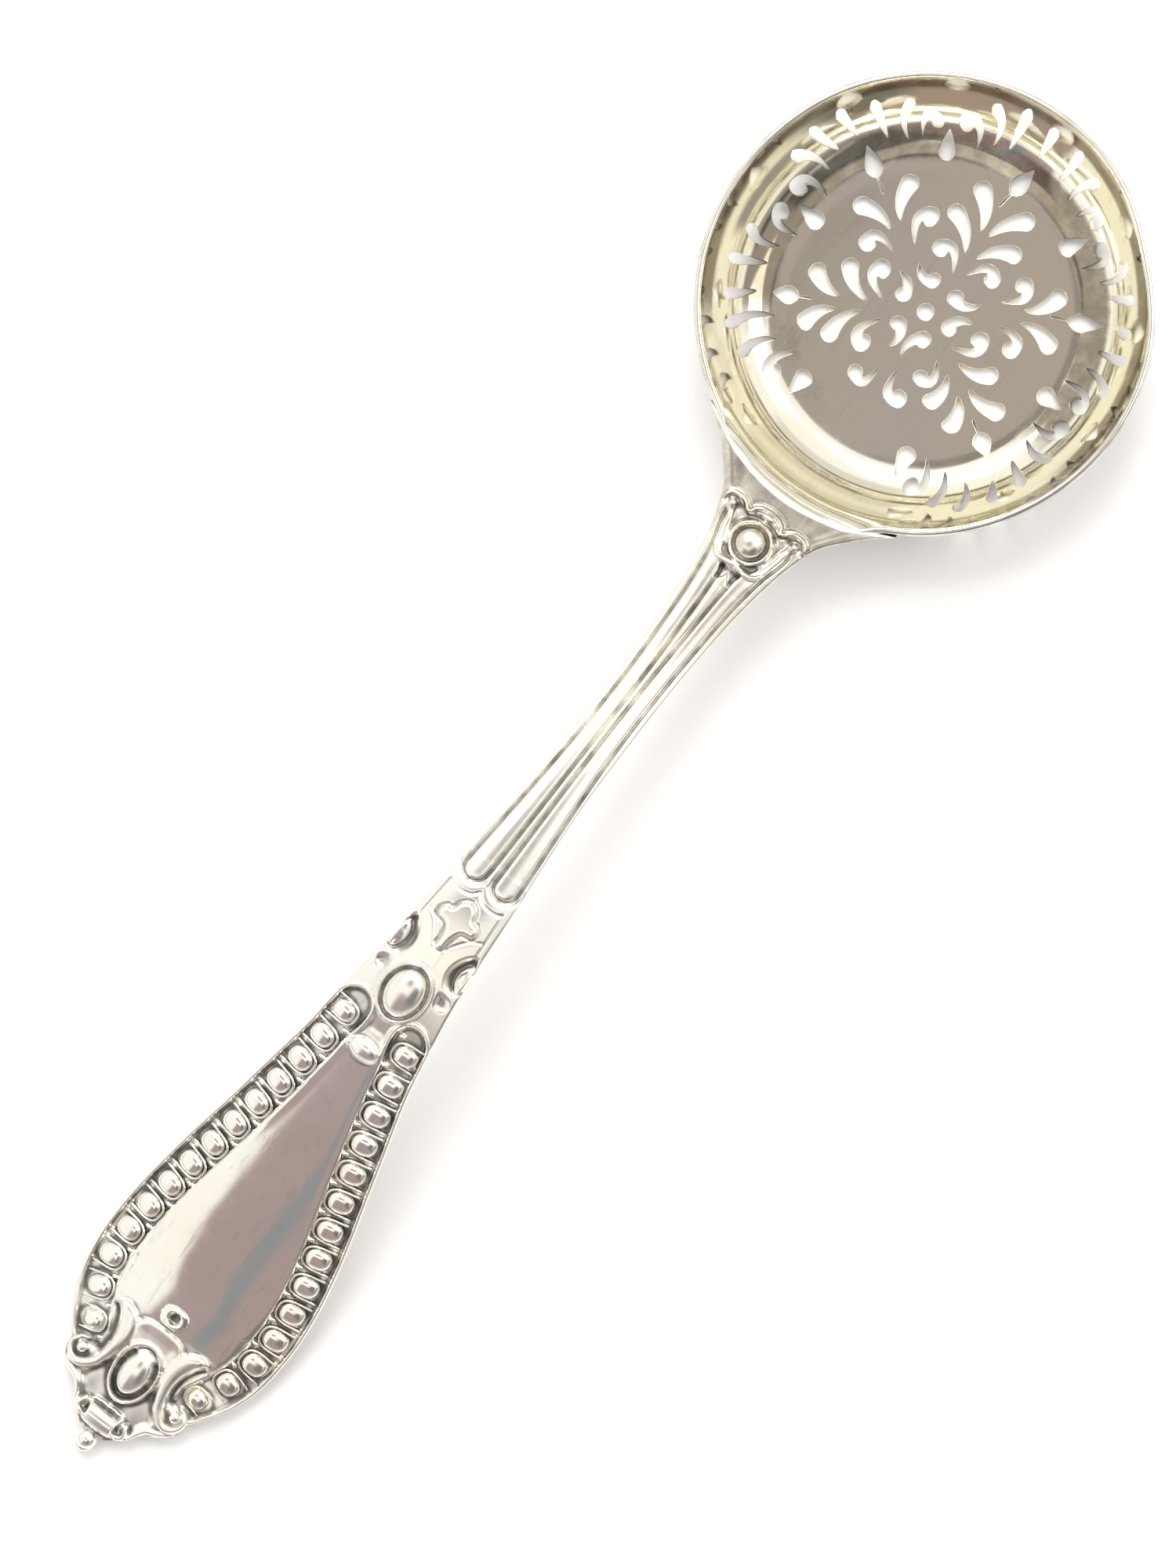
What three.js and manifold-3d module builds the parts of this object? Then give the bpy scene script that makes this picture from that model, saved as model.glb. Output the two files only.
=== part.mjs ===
// Silver sifter spoon: a round pierced bowl, a die-struck handle and the hard-solder seam between them.
// Millimetres, +Z up. The handle runs along -Y and the bowl lies at +Y, standing on its flat floor.
// A place along the spoon is given as v, the distance from the bowl's centre towards the handle's end.

import * as THREE from 'three';
import Module from 'manifold-3d';
import { mergeVertices } from 'three/addons/utils/BufferGeometryUtils.js';

const wasm = await Module();
wasm.setup();

// Driving dimensions of the whole spoon
const spoonLength = 176.6;
const bowlRadius = 24;
const bowlDepth = 9.5;
const bowlSheet = 0.8;
const floorRadius = 16.6;
const wallSweep = 1.26; // radians that the wall turns through from the floor to the rim
const bowlSides = 48;
const wallSteps = 5;

// Solder seam between the bowl's wall and the head of the handle
const seamThickness = 0.3;
const seamClearance = 0.3;

// Piercing of the bowl
const arms = 6;
const centreHole = 0.87;
const dropRadius = 0.97;
const commaRadius = 0.9;
const finRadius = 0.6;
const finPitch = THREE.MathUtils.degToRad(8.9);
const finsPerGroup = 5;
const drawnIn = 0.1; // how much nearer the centre the pattern lies at the handle than at the far end

// Handle ornament
const reedHeight = 0.62;
const channelDepth = 0.5;
const channelWidth = 3.9;
const edgeRim = 0.45;
const eggHalfLength = 1.23;
const eggHeight = 0.95;
const arcadeGap = 0.24;
const arcadeWidth = 0.3;
const arcadeHeight = 0.42;
const dartRadius = 0.32;
const dartLength = 1.1;
const panelLeast = 1.4; // half of the raised middle where the border starts
const plateHeight = 0.35;
const ballRadius = 1.15;

const silver = { color: 0xd9d6cf, roughness: 0.22, metalness: 1 };
const gilt = { color: 0xd8cf9a, roughness: 0.25, metalness: 1 };
const solder = { color: 0xc9c4b4, roughness: 0.4, metalness: 1 };

// Sizes and places that follow from them
const bowlY = spoonLength / 2 - bowlRadius;
const handleEnd = spoonLength - bowlRadius;
const eggHalfWidth = channelWidth * 0.375;
const eggPitch = 2 * (eggHalfLength + arcadeGap + arcadeWidth);
const fromRim = (distance) => bowlRadius + distance;
const fromEnd = (distance) => handleEnd - distance;
const capPlace = fromRim(6.3);
const trefoilPlace = fromEnd(73.6);
const hollowPlace = fromEnd(69.4);
const neckBossPlace = fromEnd(64.3);
const beadPlace = fromEnd(57.1);
const annuletPlace = fromEnd(18.1);
const crestPlace = fromEnd(10.5);
const volutePlace = fromEnd(9);
const cushionPlace = fromEnd(4.3);
const loftEnd = handleEnd - 1.7 * ballRadius;

// A closed mesh as a solid that can be cut and joined
function solidOf(geometry) {
  const bare = geometry.index ? geometry.toNonIndexed() : geometry.clone();
  bare.deleteAttribute('normal');
  bare.deleteAttribute('uv');
  const merged = mergeVertices(bare, 1e-5);
  const vertProperties = Float32Array.from(merged.attributes.position.array);
  const triVerts = Uint32Array.from(merged.index.array);
  return new wasm.Manifold(new wasm.Mesh({ numProp: 3, vertProperties, triVerts }));
}

function geometryOf(solid) {
  const mesh = solid.getMesh();
  const geometry = new THREE.BufferGeometry();
  geometry.setAttribute('position', new THREE.BufferAttribute(mesh.vertProperties, 3));
  geometry.setIndex(new THREE.BufferAttribute(mesh.triVerts, 1));
  geometry.computeVertexNormals();
  return geometry;
}

// A smooth value along v. The points near the bowl are [distance beyond the rim, value] and the others
// [distance back from the end, value], so that a longer spoon gets a longer stem.
function profile(nearRim, nearEnd) {
  const points = [
    ...nearRim.map(([distance, value]) => new THREE.Vector2(fromRim(distance), value)),
    ...nearEnd.map(([distance, value]) => new THREE.Vector2(fromEnd(distance), value)),
  ];
  const curve = new THREE.SplineCurve(points);
  const samples = curve.getPoints(points.length * 16);
  return (v) => {
    const next = samples.findIndex((sample) => sample.x >= v);
    if (next < 0) return samples.at(-1).y;
    if (next === 0) return samples[0].y;
    const [a, b] = [samples[next - 1], samples[next]];
    return THREE.MathUtils.mapLinear(v, a.x, b.x, a.y, b.y);
  };
}

// Bowl: flat floor, wall on an elliptic arc, flat rim edge

// Points of the bowl's outer face from the floor's edge to the rim, moved outwards by offset
function wallPoints(offset) {
  const run = (bowlRadius - floorRadius) / Math.sin(wallSweep);
  const rise = bowlDepth / (1 - Math.cos(wallSweep));
  const points = [];
  for (let step = 0; step <= wallSteps; step += 1) {
    const turn = (wallSweep * step) / wallSteps;
    const along = new THREE.Vector2(run * Math.cos(turn), rise * Math.sin(turn)).normalize();
    const radius = floorRadius + run * Math.sin(turn) + offset * along.y;
    const height = rise * (1 - Math.cos(turn)) - offset * along.x;
    points.push(new THREE.Vector2(radius, height));
  }
  return points;
}

// Solid of revolution inside the bowl's outer face, moved outwards by offset, up to the height top
function bowlPlug(offset, top) {
  const wall = wallPoints(offset);
  const outline = [new THREE.Vector2(0, -offset), ...wall, new THREE.Vector2(wall.at(-1).x, top)];
  outline.push(new THREE.Vector2(0, top));
  const lathe = new THREE.LatheGeometry(outline, bowlSides);
  lathe.rotateX(Math.PI / 2);
  lathe.translate(0, bowlY, 0);
  return solidOf(lathe);
}

function bowlShell() {
  const outer = wallPoints(0);
  const inner = wallPoints(-bowlSheet).slice(0, -1);
  const rimInner = new THREE.Vector2(outer.at(-1).x - bowlSheet, bowlDepth);
  const outline = [new THREE.Vector2(0, 0), ...outer, rimInner, ...inner.reverse()];
  outline.push(new THREE.Vector2(0, bowlSheet));
  const lathe = new THREE.LatheGeometry(outline, bowlSides);
  lathe.rotateX(Math.PI / 2);
  return solidOf(lathe);
}

// Piercing: every opening is a drop, round at its head and drawn out along a curve to a point.
// Places are [across, outwards] in hundredths of the floor's radius, for an arm that points along +Y.

// Outline of a drop from head to tip; bend pulls the middle of its curve, slim thins the tail
function dropShape(head, tip, bend, radius, slim) {
  const path = new THREE.QuadraticBezierCurve(head, bend, tip);
  const [near, far] = [[], []];
  for (const along of [0, 0.3, 0.65]) {
    const middle = path.getPoint(along);
    const side = path.getTangent(along);
    side.set(-side.y, side.x).multiplyScalar(radius * (1 - along) ** slim);
    near.push(middle.clone().add(side));
    far.unshift(middle.clone().sub(side));
  }
  const back = path.getTangent(0).negate();
  const crown = [0.9, 0, -0.9].map((turn) => {
    const spoke = back.clone().rotateAround(new THREE.Vector2(), turn);
    return head.clone().addScaledVector(spoke, radius);
  });
  return new THREE.Shape([...near, tip, ...far, ...crown]);
}

function drop(head, tip, bend, radius, slim) {
  const [start, end, pull] = [head, tip, bend].map(([x, y]) => {
    return new THREE.Vector2(x, y).multiplyScalar(floorRadius / 100);
  });
  return dropShape(start, end, pull, radius, slim);
}

// The same drop left and right of the arm
function pair(head, tip, bend, radius, slim) {
  const flip = ([x, y]) => [-x, y];
  return [drop(head, tip, bend, radius, slim), drop(flip(head), flip(tip), flip(bend), radius, slim)];
}

const bud = () => drop([0, 99], [0, 113], [0, 106], dropRadius, 0.8);
const upperLeaves = () => pair([16.6, 82], [3.6, 61], [6, 75], dropRadius, 0.75);
const lowerLeaves = () => pair([22.6, 61], [4.5, 44], [11.4, 59], dropRadius, 0.75);
const scrolls = () => pair([19.3, 37.3], [4.5, 29], [7.2, 47.6], dropRadius, 1.5);
const innerCommas = () => pair([9, 15], [5.1, 31.3], [1.5, 24], commaRadius, 1.5);
const outerCommas = () => pair([20.2, 56.6], [7.8, 45.2], [7.2, 65], dropRadius, 1.5);
const borderDrop = () => drop([0, 98], [0, 113], [0, 106], dropRadius, 0.8);
const borderComma = (side) => {
  return drop([side * 10.5, 116], [side * 17.5, 99.4], [side * 21, 118], commaRadius, 1.3);
};

// A group of fins on the wall: straight in the middle, the end ones longer and curved like horns
function fins() {
  const half = (finsPerGroup - 1) / 2;
  const onWall = (share, turn) => {
    const radius = THREE.MathUtils.lerp(floorRadius, bowlRadius, share);
    return new THREE.Vector2(0, radius).rotateAround(new THREE.Vector2(), turn);
  };
  const shapes = [];
  for (let index = -half; index <= half; index += 1) {
    const outer = Math.abs(index) / half;
    const turn = -index * finPitch;
    const tip = onWall(0.46 - 0.19 * outer, turn * (1.15 - 0.285 * outer));
    const head = onWall(0.83 - 0.08 * outer, turn);
    const bend = onWall(0.6, turn * (1.1 - 0.31 * outer));
    shapes.push(dropShape(head, tip, bend, finRadius, 0.7));
  }
  return shapes;
}

const armWithScrolls = () => [bud(), ...upperLeaves(), ...lowerLeaves(), ...scrolls(), ...fins()];
const armWithCommas = () => [bud(), ...upperLeaves(), ...outerCommas(), ...innerCommas(), ...fins()];
const armAtHeel = () => [...outerCommas(), ...innerCommas()];
const border = (sides) => [borderDrop(), ...sides.map(borderComma)];

// Every opening with the turn of its arm, anticlockwise from the bowl's far end
function piercing() {
  const openings = [];
  const pitch = (2 * Math.PI) / arms;
  const heelArm = Math.floor(arms / 2);
  for (let arm = 0; arm < arms; arm += 1) {
    const motif = arm % 2 === 0 ? armWithScrolls() : armWithCommas();
    const shapes = arm === heelArm ? armAtHeel() : motif;
    openings.push(...shapes.map((shape) => [shape, arm * pitch]));
    const besideHeel = { [heelArm - 1]: [1], [heelArm]: [-1] };
    const sides = besideHeel[arm] ?? [-1, 1];
    openings.push(...border(sides).map((shape) => [shape, (arm + 0.5) * pitch]));
  }
  return openings;
}

// Saw that cuts one opening through the bowl
function sawFor(shape, turn) {
  const saw = new THREE.ExtrudeGeometry(shape, { depth: bowlDepth + 2 * bowlSheet, bevelEnabled: false });
  const reach = 1 - (drawnIn * (1 - Math.cos(turn))) / 2;
  saw.scale(reach, reach, 1);
  saw.translate(0, 0, -bowlSheet);
  return solidOf(saw.rotateZ(turn));
}

function piercedBowl() {
  let bowl = bowlShell();
  for (const [shape, turn] of piercing()) bowl = bowl.subtract(sawFor(shape, turn));
  const drill = new THREE.CylinderGeometry(centreHole, centreHole, bowlDepth, 12);
  drill.rotateX(Math.PI / 2);
  bowl = bowl.subtract(solidOf(drill));
  return geometryOf(bowl.translate([0, bowlY, 0]));
}

// Handle: sections lofted along v. Outline, height of the upper face and thickness along it
const halfWidth = profile(
  [[-6, 14.9], [-3.5, 12.5], [-1.4, 9.9], [0.8, 7.7], [2.9, 6], [4.9, 5.2], [11, 3.95], [20, 3.1]],
  [[96.6, 2.95], [88.6, 3.15], [78.3, 4.03], [68.9, 4.74], [59.3, 6], [47.6, 8.19], [37.6, 10.4],
    [27.6, 12.1], [22.6, 12.4], [17.6, 12.05], [12.6, 10.25], [9.2, 8], [7.4, 7.6], [5.6, 5.4],
    [4.4, 4.1], [3.5, 3.6], [2, 1.9]],
);
const aboveRim = (height) => bowlDepth + height;
const upperFace = profile(
  [[-6, aboveRim(0.2)], [0, aboveRim(0.4)], [8, aboveRim(1)], [20, aboveRim(2)]],
  [[92.6, 14.3], [80.6, 15.9], [72.6, 16.4], [64.6, 15.9], [54.6, 13.9], [42.6, 10.2], [30.6, 6.3],
    [22.6, 4.3], [14.6, 3.2], [6.6, 2.5], [2.6, 2.3]],
);
const thickness = profile(
  [[-6, 6.6], [0, 5], [4, 3.8], [10, 3.3]],
  [[96.6, 2.9], [72.6, 2.5], [52.6, 2.1], [28.6, 1.8], [2.6, 1.7]],
);

// Where the grooves between the reeds start and end, and where the ovolo border runs
const groovesEnd = fromEnd(77.3);
const middleGrooves = [fromRim(10.4), groovesEnd];
const outerGrooves = [fromRim(4.9), groovesEnd];
const borderSpan = [fromEnd(59.6), fromEnd(11.2)];
const grooveRamp = 0.7;
const borderRamp = 3;

// How far the upper face lies above or below upperFace(v), from the middle of a section to its edge.
// Each has one value for each of the ten columns of half a section.
const reededColumns = [0, 0.07, 0.13, 0.19, 0.33, 0.57, 0.69, 0.75, 0.82, 1];
const reededHeights = [-0.25, -0.25, -1, -0.5, 0, 0, -0.5, -1, -0.45, -0.7];
const plainHeights = [0, 0, -0.02, -0.04, -0.06, -0.12, -0.2, -0.27, -0.36, -0.55];

// Columns of the bordered panel, measured in from its edge: rim, channel with the eggs, raised middle
function panelColumns(width) {
  const shelf = width - edgeRim - channelWidth;
  const ramp = 0.25;
  const middle = [0, 0.3, 0.6, 0.85, 1].map((share) => share * (shelf - ramp));
  return [...middle, shelf, width - edgeRim - ramp, width - edgeRim, width - edgeRim * 0.4, width];
}
const panelHeights = [0.3, 0.27, 0.19, 0.1, 0, -channelDepth, -channelDepth, 0, 0, -0.25];

// Share of a feature at v: 0 outside its span, 1 inside, with a short ramp at both ends
function share(v, [start, end], ramp) {
  const begun = THREE.MathUtils.smoothstep(v, start - ramp, start);
  return begun * (1 - THREE.MathUtils.smoothstep(v, end, end + ramp));
}

// Half of the upper face at v, as [x, z] points from the middle to the edge
function upperHalf(v) {
  const width = halfWidth(v);
  const reeded = { middle: share(v, middleGrooves, grooveRamp), outer: share(v, outerGrooves, grooveRamp) };
  const panelled = share(v, borderSpan, borderRamp);
  const panel = panelColumns(Math.max(width, edgeRim + channelWidth + panelLeast));
  return reededColumns.map((column, index) => {
    const x = THREE.MathUtils.lerp(column * width, Math.min(panel[index], width), panelled);
    const struck = index < 5 ? reeded.middle : reeded.outer;
    const relief = THREE.MathUtils.lerp(plainHeights[index], reededHeights[index] * reedHeight, struck);
    return [x, upperFace(v) + THREE.MathUtils.lerp(relief, panelHeights[index], panelled)];
  });
}

// Height of the upper face at a place on the handle
function surface(x, v) {
  const half = upperHalf(v);
  const side = Math.abs(x);
  const next = Math.max(1, half.findIndex((point) => point[0] >= side));
  const [a, b] = [half[next - 1], half[next]];
  return THREE.MathUtils.mapLinear(side, a[0], b[0], a[1], b[1]);
}

// Closed ring of points round the handle at v
function section(v) {
  const half = upperHalf(v);
  const [edgeX, edgeZ] = half.at(-1);
  const under = upperFace(v) - thickness(v);
  const right = half.slice(1);
  const left = half.toReversed().map(([x, z]) => [-x, z]);
  const edgeLow = THREE.MathUtils.lerp(edgeZ, under, 0.42);
  const haunch = THREE.MathUtils.lerp(edgeZ, under, 0.86);
  const nearer = edgeX * 0.62;
  const below = [[edgeX, edgeLow], [nearer, haunch], [0, under], [-nearer, haunch], [-edgeX, edgeLow]];
  return [...left, ...right, ...below].map(([x, z]) => new THREE.Vector3(x, bowlY - v, z));
}

function loft(rings) {
  const count = rings[0].length;
  const index = [];
  for (let ring = 0; ring < rings.length - 1; ring += 1) {
    for (let point = 0; point < count; point += 1) {
      const a = ring * count + point;
      const b = ring * count + ((point + 1) % count);
      index.push(a, a + count, b, b, a + count, b + count);
    }
  }
  const geometry = new THREE.BufferGeometry().setFromPoints(rings.flat());
  const ends = [[rings[0], 0, false], [rings.at(-1), (rings.length - 1) * count, true]];
  for (const [ring, first, turned] of ends) {
    const flat = ring.map((point) => new THREE.Vector2(point.x, point.z));
    for (const [a, b, c] of THREE.ShapeUtils.triangulateShape(flat, [])) {
      index.push(...(turned ? [first + a, first + b, first + c] : [first + a, first + c, first + b]));
    }
  }
  geometry.setIndex(index);
  return geometry;
}

// Places along v at which sections are drawn: closer where the form changes
function stations() {
  const spans = [
    [fromRim(-6), fromRim(2), 2],
    [outerGrooves[0] - grooveRamp, outerGrooves[0], grooveRamp],
    [fromRim(7), middleGrooves[0] - grooveRamp, 3],
    [middleGrooves[0], middleGrooves[0], 1],
    [fromRim(14), groovesEnd, 7.5],
    [groovesEnd + grooveRamp, groovesEnd + grooveRamp, 1],
    [fromEnd(73.6), borderSpan[0], 3.5],
    [borderSpan[0] + borderRamp, fromEnd(12.6), 4],
    [fromEnd(10.6), fromEnd(7), 1.8],
    [fromEnd(5.6), loftEnd, 1.5],
  ];
  return spans.flatMap(([start, end, step]) => {
    const steps = Math.round((end - start) / step);
    return Array.from({ length: steps + 1 }, (_, k) => start + ((end - start) * k) / Math.max(steps, 1));
  });
}

// Sets an ornament on the upper face at (x, v), turned in the face and sunk into it
function seated(geometry, x, v, sink, turn = 0) {
  const slope = Math.atan2(surface(0, v - 1) - surface(0, v + 1), 2);
  geometry.rotateZ(turn);
  geometry.rotateX(slope);
  geometry.translate(x, bowlY - v, surface(x, v) - sink);
  return geometry;
}

// Dome on an oval foot that reaches a little below its own base
function dome(halfX, halfY, height, sides = 10) {
  const foot = 0.4 / height;
  const rise = new THREE.EllipseCurve(0, 0, 1, 1, 0, Math.PI / 2).getPoints(2).slice(0, -1);
  const flat = [new THREE.Vector2(0, -foot), new THREE.Vector2(0.98, -foot)];
  const outline = [...flat, ...rise, new THREE.Vector2(0, 1)];
  const turned = new THREE.LatheGeometry(outline, sides);
  turned.rotateX(Math.PI / 2);
  return turned.scale(halfX, halfY, height);
}

// Oval ring that frames a dome
function ring(halfX, halfY, wire) {
  const torus = new THREE.TorusGeometry(1, wire / halfX, 4, 16);
  return torus.scale(halfX, halfY, halfX);
}

// Spiral scroll: a bead of silver that winds in from its outer end
function volute(outer, inner, wire, turns, side) {
  const points = [];
  const count = Math.round(turns * 8);
  for (let step = 0; step <= count; step += 1) {
    const along = step / count;
    const angle = along * turns * 2 * Math.PI;
    const radius = THREE.MathUtils.lerp(outer, inner, along);
    points.push(new THREE.Vector3(side * radius * Math.cos(angle), radius * Math.sin(angle), 0));
  }
  const path = new THREE.CatmullRomCurve3(points);
  const wireShape = new THREE.Shape(new THREE.EllipseCurve(0, 0, wire, wire).getPoints(4).slice(0, 4));
  return new THREE.ExtrudeGeometry(wireShape, { steps: count, extrudePath: path, bevelEnabled: false });
}

function raised(shape, height, curveSegments = 3) {
  return new THREE.ExtrudeGeometry(shape, { depth: height, bevelEnabled: false, curveSegments });
}

// Ovolo border: eggs along both edges, each under an arch, with a dart between neighbours

// Places of the eggs along the right-hand edge, one pitch apart along the border's middle line
function eggPlaces() {
  const inset = edgeRim + channelWidth / 2;
  const places = [];
  let travelled = 0;
  let last = null;
  for (let v = borderSpan[0] + eggHalfLength; v < borderSpan[1]; v += 0.1) {
    const turn = Math.atan(halfWidth(v + 0.5) - halfWidth(v - 0.5));
    const here = new THREE.Vector2(halfWidth(v) - inset * Math.cos(turn), v + inset * Math.sin(turn));
    travelled += last ? here.distanceTo(last) : eggPitch;
    last = here;
    if (travelled >= eggPitch) {
      travelled -= eggPitch;
      places.push({ x: here.x, v: here.y, turn });
    }
  }
  return places;
}

function arch() {
  const outline = new THREE.Shape();
  const [wide, long] = [eggHalfWidth, eggHalfLength].map((half) => half + arcadeGap + arcadeWidth);
  const span = 1.75;
  outline.absellipse(0, 0, wide, long, Math.PI - span, Math.PI + span, false);
  outline.absellipse(0, 0, wide - arcadeWidth, long - arcadeWidth, Math.PI + span, Math.PI - span, true);
  return raised(outline, 2 * arcadeHeight, 2);
}

function dart() {
  const cone = new THREE.ConeGeometry(dartRadius, dartLength, 3);
  cone.rotateZ(Math.PI / 2);
  return cone.scale(1, 1, 0.9);
}

function borderOrnaments() {
  const pieces = [];
  const places = eggPlaces();
  for (const side of [1, -1]) {
    places.forEach(({ x, v, turn }, index) => {
      const lie = side * turn;
      pieces.push(seated(dome(eggHalfWidth, eggHalfLength, eggHeight, 7), side * x, v, 0.1, lie));
      const bow = side > 0 ? arch() : arch().rotateZ(Math.PI);
      pieces.push(seated(bow, side * x, v, arcadeHeight, lie));
      const next = places[index + 1];
      if (!next) return;
      const between = { x: (x + next.x) / 2 - eggHalfWidth - arcadeGap, v: (v + next.v) / 2 };
      const point = side > 0 ? dart() : dart().rotateZ(Math.PI);
      pieces.push(seated(point, side * between.x, between.v, 0, lie));
    });
  }
  return pieces;
}

// Cap at the top of the stem: a three-lobed plate, a round boss, two small scrolls and a bracket
function cap() {
  const outline = new THREE.Shape();
  outline.moveTo(-4.5, 0.9);
  outline.lineTo(-4.9, 1.9);
  outline.bezierCurveTo(-4.9, 3.5, -2.5, 3.7, -2, 2.6);
  outline.bezierCurveTo(-1.6, 4.3, 1.6, 4.3, 2, 2.6);
  outline.bezierCurveTo(2.5, 3.7, 4.9, 3.5, 4.9, 1.9);
  outline.lineTo(4.5, 0.9);
  outline.quadraticCurveTo(2.4, 1.6, 1.9, -0.6);
  outline.lineTo(-1.9, -0.6);
  outline.quadraticCurveTo(-2.4, 1.6, -4.5, 0.9);
  const bracket = new THREE.Shape();
  bracket.moveTo(-2.1, 0.5);
  bracket.quadraticCurveTo(0, 1.2, 2.1, 0.5);
  bracket.lineTo(1.2, -0.6);
  bracket.lineTo(-1.2, -0.6);
  const pieces = [seated(raised(outline, 2 * plateHeight), 0, capPlace - 0.2, plateHeight)];
  pieces.push(seated(raised(bracket, 2 * plateHeight), 0, capPlace + 3.1, plateHeight));
  pieces.push(seated(dome(1.65, 1.65, 1.15), 0, capPlace, -0.3));
  pieces.push(seated(ring(2.15, 2.15, 0.3), 0, capPlace, -0.3));
  for (const side of [1, -1]) {
    pieces.push(seated(dome(0.65, 0.65, 0.5, 7), side * 4, capPlace - 2.2, -0.3));
  }
  return pieces;
}

// Neck: trefoil leaf, hollows at both edges, framed oval boss and a bead above the panel
function trefoil() {
  const leaf = new THREE.Shape();
  leaf.moveTo(0, 2.6);
  leaf.quadraticCurveTo(1.5, 1.9, 1.2, 0.7);
  leaf.quadraticCurveTo(2.7, 1, 2.5, -0.5);
  leaf.quadraticCurveTo(1.3, -1, 0.6, -3.4);
  leaf.lineTo(-0.6, -3.4);
  leaf.quadraticCurveTo(-1.3, -1, -2.5, -0.5);
  leaf.quadraticCurveTo(-2.7, 1, -1.2, 0.7);
  leaf.quadraticCurveTo(-1.5, 1.9, 0, 2.6);
  return raised(leaf, 2 * plateHeight);
}

function neck() {
  const pieces = [seated(trefoil(), 0, trefoilPlace, plateHeight)];
  pieces.push(seated(dome(1.92, 2.55, 1.5), 0, neckBossPlace, 0));
  pieces.push(seated(ring(2.4, 3.3, 0.34), 0, neckBossPlace, 0));
  pieces.push(seated(dome(1.75, 1.35, 1), 0, beadPlace, 0.05));
  return pieces;
}

function neckHollows() {
  const edge = halfWidth(hollowPlace) + 0.2;
  return [1, -1].map((side) => seated(dome(2.5, 2.4, 0.55), side * edge, hollowPlace, 0));
}

// Crest at the end: lobed plate, framed oval boss, two scrolls, cushion and ball
function crest() {
  const outline = new THREE.Shape();
  outline.moveTo(-6.1, -2.6);
  outline.quadraticCurveTo(-3.3, 1.4, -6.1, 5.2);
  outline.bezierCurveTo(-5.6, 6.6, -3.6, 6.5, -3.1, 5);
  outline.bezierCurveTo(-2.4, 6.5, 2.4, 6.5, 3.1, 5);
  outline.bezierCurveTo(3.6, 6.5, 5.6, 6.6, 6.1, 5.2);
  outline.quadraticCurveTo(3.3, 1.4, 6.1, -2.6);
  outline.quadraticCurveTo(4, -3.4, 2.9, -6.2);
  outline.lineTo(-2.9, -6.2);
  outline.quadraticCurveTo(-4, -3.4, -6.1, -2.6);
  const pieces = [seated(raised(outline, 3 * plateHeight), 0, crestPlace, 1.4 * plateHeight)];
  pieces.push(seated(dome(1.75, 2.7, 1.6), 0, crestPlace, -0.5));
  pieces.push(seated(ring(2.45, 3.7, 0.38), 0, crestPlace, -0.6));
  pieces.push(seated(ring(0.85, 0.85, 0.34), 0, annuletPlace, -0.05));
  for (const side of [1, -1]) {
    pieces.push(seated(volute(1.05, 0.3, 0.42, 1.25, side), side * 6.5, volutePlace, -0.2));
    pieces.push(seated(dome(1.1, 1.1, 0.45, 7), side * 6.5, volutePlace, 0));
  }
  pieces.push(seated(dome(2.15, 1.1, 0.9), 0, cushionPlace, -0.1));
  const ball = new THREE.SphereGeometry(ballRadius, 10, 6);
  ball.rotateX(Math.PI / 2);
  pieces.push(ball.translate(0, bowlY - handleEnd + ballRadius, ballRadius));
  return pieces;
}

function handleBlank() {
  return solidOf(loft(stations().map(section)));
}

function handle(blank) {
  let struck = blank;
  for (const piece of [...borderOrnaments(), ...cap(), ...neck(), ...crest()]) {
    struck = struck.add(solidOf(piece));
  }
  for (const piece of neckHollows()) {
    struck = struck.subtract(solidOf(piece));
  }
  const fit = seamThickness + 2 * seamClearance;
  return geometryOf(struck.subtract(bowlPlug(fit, bowlDepth * 2)));
}

// The seam is the layer of solder where the head of the handle meets the wall
function solderSeam(blank) {
  const outer = bowlPlug(seamClearance + seamThickness, bowlDepth);
  const layer = outer.subtract(bowlPlug(seamClearance, bowlDepth * 2));
  return geometryOf(blank.intersect(layer));
}

function part(name, geometry, look) {
  const mesh = new THREE.Mesh(geometry, new THREE.MeshStandardMaterial(look));
  mesh.name = name;
  return mesh;
}

const blank = handleBlank();
const spoon = new THREE.Group();
spoon.add(part('pierced_bowl', piercedBowl(), gilt));
spoon.add(part('handle', handle(blank), silver));
spoon.add(part('solder_seam', solderSeam(blank), solder));

export default spoon;
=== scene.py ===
import math
import bmesh
import bpy
import numpy as np
from mathutils import Matrix, Vector
from mathutils.geometry import delaunay_2d_cdt


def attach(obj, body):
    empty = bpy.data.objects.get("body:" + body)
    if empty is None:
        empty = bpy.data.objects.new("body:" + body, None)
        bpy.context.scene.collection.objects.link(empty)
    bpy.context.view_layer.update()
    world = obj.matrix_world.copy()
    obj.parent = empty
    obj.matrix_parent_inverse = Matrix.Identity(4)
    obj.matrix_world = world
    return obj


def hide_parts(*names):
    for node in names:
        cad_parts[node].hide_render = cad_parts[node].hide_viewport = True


# A silver sifter spoon, parcel gilt: pierced bowl, die-struck handle with an ovolo border, and their solder.
# Sizes in the dictionaries are in millimetres, and meshes are written in metres in the CAD model's frame.
# v is the distance from the bowl's centre towards the handle's end, x the distance from the middle line.

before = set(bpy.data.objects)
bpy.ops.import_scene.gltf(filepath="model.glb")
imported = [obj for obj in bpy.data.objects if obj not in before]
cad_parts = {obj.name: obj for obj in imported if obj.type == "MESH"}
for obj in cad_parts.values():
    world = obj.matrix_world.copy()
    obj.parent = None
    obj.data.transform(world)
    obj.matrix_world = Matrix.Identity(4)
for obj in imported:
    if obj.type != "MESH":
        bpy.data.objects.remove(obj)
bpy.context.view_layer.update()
mm = 0.001

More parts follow.
